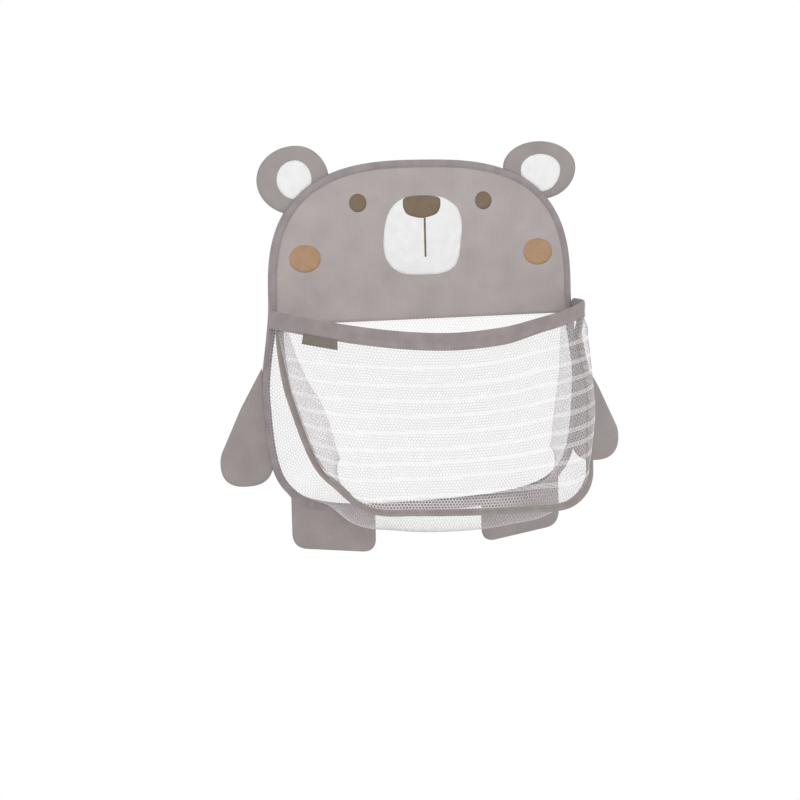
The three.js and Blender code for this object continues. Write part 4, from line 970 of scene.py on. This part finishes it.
def threadMesh(start, end, half, tall):  # three-sided threads, open at their knots, on edge to the front
    keep = np.linalg.norm(end - start, axis=1) > net["shortest"]
    half = np.broadcast_to(half, len(start))[keep][:, None]
    start, end = start[keep], end[keep]
    along = unit(end - start)
    sideways = np.cross(along, net["facing"])
    sideways /= np.maximum(np.linalg.norm(sideways, axis=1), 1e-9)[:, None]
    proud = np.cross(sideways, along) * tall
    sunk = proud * (1 - net["ridge"])
    corners = [proud * net["ridge"], -sideways * half - sunk, sideways * half - sunk]
    points = np.stack([tip + c for tip in (start, end) for c in corners], 1).reshape(-1, 3)
    first = (np.arange(len(start)) * 6)[:, None]
    faces = np.stack([first + q for q in ((0, 3, 4, 1), (1, 4, 5, 2), (2, 5, 3, 0))], 1).reshape(-1, 4)
    return points, faces


def hangNet(grid, start, end, half, tall):  # threads whose ends are shares of a surface
    keep = np.logical_or(*(((s >= 0) & (s <= 1)).all(1) for s in (start, end)))
    tips = [surfaceAt(grid, *np.clip(s[keep], 0, 1).T) for s in (start, end)]
    return threadMesh(*tips, np.broadcast_to(half, len(start))[keep], tall)


def evenRows(grid):  # every row of points spread evenly along its own length
    runs = [runOf(row) for row in grid]
    rows = [pointsAt(np.linspace(0, run[-1], len(row)), run, row) for run, row in zip(runs, grid)]
    return np.array(rows), np.array([run[-1] for run in runs])


def shareAlong(values, run):  # share of a run, pushed out of range beyond its ends
    return np.interp(values, run, np.linspace(0, 1, len(run))) - (values < 0) + (values > run[-1])


# back net of the lower body, flat in the binding and tucked up under the face
body = {"wide": 330.0, "inset": 5.5, "reach": 4.0, "rows": 400}
low = bottom + body["inset"]
tailRuns = np.linspace(runAtHeight(netTop + body["reach"]), edgeLength, body["rows"])
tailX, tailZ = edgeAt(tailRuns, body["inset"])


def bodyHalf(height):
    return np.interp(-height, -tailZ, tailX)


tips = [end + (-body["wide"] / 2, low) for end in meshLattice(body["wide"], netTop - low, net["pitch"])]
keep = np.logical_and(*((np.abs(x) <= bodyHalf(z)) & (z <= netTop) & (z >= low)
                        for x, z in (tip.T for tip in tips)))
tips = [np.insert(tip[keep], 1, midY, axis=1) for tip in tips]
points, faces = threadMesh(*tips, *net["back"])
backNet = makePiece("backNet", points, faces, shadedNetFinish, smooth=False)
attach(backNet, "back")
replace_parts(backNet, "back_net_panel")
print("back net", len(faces))

# gusset: from the binding to the front seam, folded in at the sides and sagging under the floor
gusset = {"rows": 170, "columns": 61, "lengthColumn": 15, "rootInset": 5.0, "rootLift": 0.35,
          "seamBack": -0.3, "sagInset": -10.0, "creaseInset": 12.0, "floor": (0.38, 0.58),
          "right": (0.4, 0.6), "outer": (0.4, 0.6)}
gussetT, gussetSign = bothSides(gusset["rows"])
share = np.linspace(0, 1, gusset["columns"])[None, :, None]
rootDepth = bindingHalf(edgeAt(mouthRun + (edgeLength - mouthRun) * gussetT)[1]) + gusset["rootLift"]
foldInset = alongPocket(pocket["foldInsets"], gussetT)
begin = pocketPoint(gussetT, gusset["rootInset"], rootDepth)
fold = pocketPoint(gussetT, foldInset, alongPocket(pocket["foldDepths"], gussetT))
for line in (begin, fold):
    line[:, 0] *= gussetSign
finish = seamPoint(gussetSign, gussetT, pocket["netTuck"], gusset["seamBack"])
begin, fold, finish = begin[:, None], hangAskew(fold, gussetT)[:, None], finish[:, None]
crease = smoothStep(foldInset, gusset["sagInset"], gusset["creaseInset"])[:, None, None]
late = 2 * share - 1
sag = fold * 4 * share * (1 - share) - begin * (1 - share) * late + finish * share * late
straight = np.where(late < 0, begin + (fold - begin) * 2 * share, fold + (finish - fold) * late)
sheet, widths = evenRows(sag + (straight - sag) * crease)
gussetRun = runOf(sheet[:, gusset["lengthColumn"]])
gussetLong = gussetRun[-1]
start, end = (np.stack([shareAlong(p[:, 0], gussetRun), p[:, 1] / np.interp(p[:, 0], gussetRun, widths)], 1)
              for p in meshLattice(gussetLong, widths.max(), net["pitch"]))
under = smoothStep(np.interp(start[:, 0], np.linspace(0, 1, len(gussetT)), gussetT), *gusset["floor"])
right = smoothStep(start[:, 0], *gusset["right"])  # stretched finer over the floor and to the right
side, floorHalf = (net[k][0] + (net[k][1] - net[k][0]) * right for k in ("gussetSide", "gussetFloor"))
inner = 1 - smoothStep(start[:, 1], *gusset["outer"])
half = side * (1 - (1 - net["innerThin"]) * inner) * (1 - under) + floorHalf * under
points, faces = hangNet(sheet, start, end, half, net["gussetTall"])
gussetNet = makePiece("gussetNet", points, faces, shadedNetFinish, smooth=False)
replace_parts(gussetNet, *(f"{side}_gusset_{part}" for side, _ in sides for part in ("side", "floor")))
swingWith(gussetNet)
print("gusset net", len(faces))

# front net: hung from the hem and bowed out, with woven stripes across it
front = {"columns": 121, "rows": 81, "startDepth": 29.3, "seamFront": 0.6, "slipEnd": 0.25,
         "bulge": 26.0, "bulgeBend": 1.5, "bulgeRim": 4, "sideSwell": 14.0, "sideBend": 0.5, "sideRim": 8,
         "shoulder": 7.0, "shoulderRise": (0, 0.07), "shoulderFall": (0.15, 0.4), "shoulderSide": (0.3, 0.8),
         "shoulderRim": 12, "gatherRise": (14, 8), "gatherSide": (0.1, 0.5),
         "stripeDrops": (22, 40, 56.3, 71.7, 87.7, 103.2, 116.2, 130.7, 148), "stripeWide": 3.2,
         "stripeThreads": 4, "stripePoints": 160, "stripeDroop": 7.5, "stripeTilt": -3.5,
         "startSearch": (0, 60, 601)}
meet = np.linspace(*front["startSearch"])
frontStart = float(meet[np.argmax(midY - hemAt(meet)[:, 1] >= front["startDepth"])])
w, v = np.linspace(0, 1, front["columns"]), np.linspace(0, 1, front["rows"])
far = 2 * w - 1
topEdge = hemAt(frontStart + (hemLength - 2 * frontStart) * w) - np.array((0, 0, hemTop + pocket["hemGap"]))


def netSeam(sign, t):
    return seamPoint(sign, t, pocket["netTuck"], front["seamFront"])


def sideEdge(sign, corner):
    slip = corner - netSeam(sign, np.array([0.0]))[0]
    return netSeam(sign, pocket["corner"] * v) + slip * (1 - smoothStep(v, 0, front["slipEnd"]))[:, None]


bottomEdge = netSeam(np.where(far < 0, -1, 1), 1 - (1 - pocket["corner"]) * np.abs(far))
leftEdge, rightEdge = sideEdge(-1, topEdge[0]), sideEdge(1, topEdge[-1])
a, b = v[:, None, None], w[None, :, None]
sheet = (topEdge[None] * (1 - a) + bottomEdge[None] * a + leftEdge[:, None] * (1 - b) + rightEdge[:, None] * b
         - topEdge[0] * (1 - a) * (1 - b) - topEdge[-1] * (1 - a) * b
         - bottomEdge[0] * a * (1 - b) - bottomEdge[-1] * a * b)
swell = np.sin(math.pi * v).clip(0)[:, None]
shoulder = hump(v, front["shoulderRise"], front["shoulderFall"])[:, None]
shoulder = shoulder * smoothStep(far, *front["shoulderSide"])
sheet[:, :, 1] -= front["bulge"] * (1 - far ** front["bulgeRim"]) * swell ** front["bulgeBend"]
sheet[:, :, 0] += front["sideSwell"] * far ** 3 * (1 - far ** front["sideRim"]) * swell ** front["sideBend"]
sheet[:, :, 0] += front["shoulder"] * shoulder * (1 - far ** front["shoulderRim"])
tucked = topEdge + np.array((0, 0, pocket["hemGrip"]))
sheet, rowLengths = evenRows(np.concatenate([tucked[None], sheet]))
drop = runOf(sheet[:, front["columns"] // 2])
frontTall = drop[-1]


def frontShare(p):
    length = np.interp(p[:, 1], drop, rowLengths)
    return np.stack([shareAlong(p[:, 1], drop), 0.5 + (p[:, 0] - rowLengths.max() / 2) / length], 1)


def stripeFall(far):  # the stripes hang a little lower towards the sides
    return front["stripeDroop"] * far ** 2 + front["stripeTilt"] * far


start, end = meshLattice(rowLengths.max(), frontTall, net["pitch"])
stripeDrops = np.array(front["stripeDrops"])
middle = (start + end) / 2
middleFar = np.clip(2 * frontShare(middle)[:, 1] - 1, -1, 1)
away = np.abs((middle[:, 1] - stripeFall(middleFar))[:, None] - stripeDrops)
plain = (away > front["stripeWide"] / 2).all(1)  # the stripes take the net's place
gatherHigh, gatherLow = (frontTall - height for height in front["gatherRise"])
gather = smoothStep(middle[:, 1], gatherHigh, gatherLow) * (1 - smoothStep(middleFar, *front["gatherSide"]))
half = (net["front"][0] + net["gather"] * gather)[plain]  # drawn together where it meets the floor's seam
points, faces = hangNet(sheet, frontShare(start[plain]), frontShare(end[plain]), half, net["front"][1])
acrossNet = np.linspace(0, 1, front["stripePoints"])
rows = stripeDrops[:, None] + np.linspace(-0.5, 0.5, front["stripeThreads"]) * front["stripeWide"]
down = shareAlong(rows.reshape(-1, 1) + stripeFall(2 * acrossNet - 1), drop).clip(0, 1)
spots = np.stack([down, np.broadcast_to(acrossNet, down.shape)], 2)
stripeTips = (part.reshape(-1, 2) for part in (spots[:, :-1], spots[:, 1:]))
stripePoints, stripeFaces = hangNet(sheet, *stripeTips, *net["stripe"])
tones = np.repeat(np.array((0, 1), dtype=np.int32), (len(faces), len(stripeFaces)))
faces = np.vstack([faces, stripeFaces + len(points)])
points = np.vstack([points, stripePoints])
frontNet = makePiece("frontNet", points, faces, [shadedNetFinish, stripeFinish], smooth=False)
frontNet.data.polygons.foreach_set("material_index", tones)
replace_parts(frontNet, "pocket_front_net")
swingWith(frontNet)
print("front net", len(faces), "threads to", round(frontTall), "mm deep")


# side label: a bare folded tab sewn under the hem
label = {"spread": 143.0, "long": 33.0, "high": 7.8, "tuck": 1.2, "cloth": 0.6, "lean": 4.0, "curl": 1.4,
         "flat": 10.7, "rings": 22, "rows": 8, "search": (0, 120, 1201)}
search = np.linspace(*label["search"])
labelStart = float(search[np.argmax(hemAt(search)[:, 0] >= -label["spread"])])
labelRuns = np.linspace(labelStart, labelStart + label["long"], label["rings"])
fall = np.linspace(0, 1, label["rows"])
curl = hemSkin + label["lean"] * fall ** label["curl"]
rise = label["tuck"] - hemTop - (label["high"] + label["tuck"]) * fall
labelSection = [*zip(curl, rise), *zip(curl[::-1] + label["cloth"], rise[::-1])]
rings = np.array([hemSection(run, labelSection) for run in labelRuns])
acrossLabel = np.concatenate([label["flat"] * fall, label["flat"] * fall[::-1]])
sideLabel = sweptPiece("sideLabel", rings, labelFinish, acrossLabel, labelRuns - labelStart)
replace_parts(sideLabel, "side_label")
swingWith(sideLabel)
print("label hung")


# suction cups and eyelets: turned profiles, given as radius and depth
cup = {"segments": 72, "tip": 1e-3,
       "profile": ((0, -17.8), (3.4, -17.8), (4.6, -17.6), (5.3, -17.0), (5.5, -16.2), (5.45, -15.4),
                   (5.0, -15.0), (3.9, -14.9), (3.5, -14.6), (3.5, -11.6), (3.9, -11.1), (5.6, -11.0),
                   (6.9, -10.6), (8.2, -9.4), (10.4, -7.2), (13.0, -4.9), (16.0, -3.0), (18.6, -1.9),
                   (21.4, -1.35), (22.3, -1.0), (22.5, -0.5), (22.3, -0.1), (21.6, 0.0), (18.8, -0.1),
                   (15.0, -1.2), (9.3, -2.7), (4.5, -3.4), (0, -3.6))}
eyelet = {"profile": ((4.0, -14.3), (4.2, -14.6), (5.0, -14.75), (6.4, -14.7), (7.6, -14.45), (8.0, -14.1),
                      (7.9, -13.8), (7.2, -13.72), (5.2, -13.7), (4.8, -13.6), (4.8, -12.4), (5.2, -12.3),
                      (7.2, -12.28), (7.9, -12.2), (8.0, -11.9), (7.6, -11.6), (6.4, -11.5), (5.0, -11.45),
                      (4.2, -11.6), (4.0, -11.9))}


def turnedPiece(name, x, profile, closed, finish):
    angles = 2 * math.pi * np.arange(cup["segments"]) / cup["segments"]
    points = [(x + max(r, cup["tip"]) * math.cos(a), y, max(r, cup["tip"]) * math.sin(a))
              for r, y in profile for a in angles]
    quads = tubeFaces(len(profile), cup["segments"], ring=True)
    if not closed:
        quads = quads[:-cup["segments"]]
    return makePiece(name, points, [(a, d, c, b) for a, b, c, d in quads], finish)


for side, s in sides:
    x = s * head["cupSpread"]
    one = turnedPiece(f"{side}SuctionCup", x, cup["profile"], False, cupFinish)
    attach(one, f"{side}_cup")
    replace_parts(one, f"{side}_suction_cup")
    ring = turnedPiece(f"{side}Eyelet", x, eyelet["profile"], True, eyeletFinish)
    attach(ring, "back")
    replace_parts(ring, f"{side}_eyelet")
print("cups and eyelets turned")

# the hoop of wire in the binding stays as the CAD made it
wire = bpy.data.objects["frame_wire"]
wire.data.materials.clear()
wire.data.materials.append(wireFinish)


# stage, in metres: pale floor well below, white surround, large soft lamps
stage = {"floorZ": -0.9, "floor": ((-1.2, -2.2), (0.8, 0.1)), "surround": 0.82, "aim": (0, 0, -0.12),
         "lampSize": 1.8, "lamps": {"key": (13.0, (-1.1, -2.1, 1.2)), "fill": (5.0, (1.3, -1.9, 0.2))}}
mesh = bpy.data.meshes.new("floor")
(x0, y0), (x1, y1) = stage["floor"]
corners = [(x, y, stage["floorZ"]) for x, y in ((x0, y0), (x1, y0), (x1, y1), (x0, y1))]
mesh.from_pydata(corners, [], [(0, 1, 2, 3)])
floor = bpy.data.objects.new("floor", mesh)
bpy.context.collection.objects.link(floor)
floorFinish, tree, lies = newFinish("matt white board")  # smooth painted board, almost even
grain = addNode(tree, "TexNoise", {"Scale": noiseScale(40)}, lies)
endFinish(floorFinish, {"Roughness": 0.9}, ((grain, "Fac"), (0.3, "F0F0F0"), (0.7, "F4F4F4")))
mesh.materials.append(floorFinish)
floor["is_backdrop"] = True

world = bpy.data.worlds.new("white surround")
bpy.context.scene.world = world
world.use_nodes = True
tree = world.node_tree
tree.nodes.clear()
rays = addNode(tree, "LightPath", {})
seen = rays, "Is Camera Ray"
for kind in ("Is Glossy Ray", "Is Transmission Ray"):
    seen = addNode(tree, "Math", {"operation": "MAXIMUM"}, {0: seen, 1: (rays, kind)}), "Value"
lit = addNode(tree, "Background", {"Color": (1, 1, 1, 1), "Strength": stage["surround"]})
white = addNode(tree, "Background", {"Color": (1, 1, 1, 1), "Strength": 1.0})
both = addNode(tree, "MixShader", {}, {0: seen, 1: (lit, "Background"), 2: (white, "Background")})
addNode(tree, "OutputWorld", {}, {"Surface": (both, "Shader")})

for name, (power, spot) in stage["lamps"].items():
    lamp = bpy.data.lights.new(f"{name}Lamp", "AREA")
    lamp.size = stage["lampSize"]
    lamp.energy = power
    holder = bpy.data.objects.new(f"{name}Lamp", lamp)
    holder.location = spot
    holder.rotation_euler = (Vector(stage["aim"]) - Vector(spot)).to_track_quat("-Z", "Y").to_euler()
    bpy.context.collection.objects.link(holder)
print("lamps set")

low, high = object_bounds()
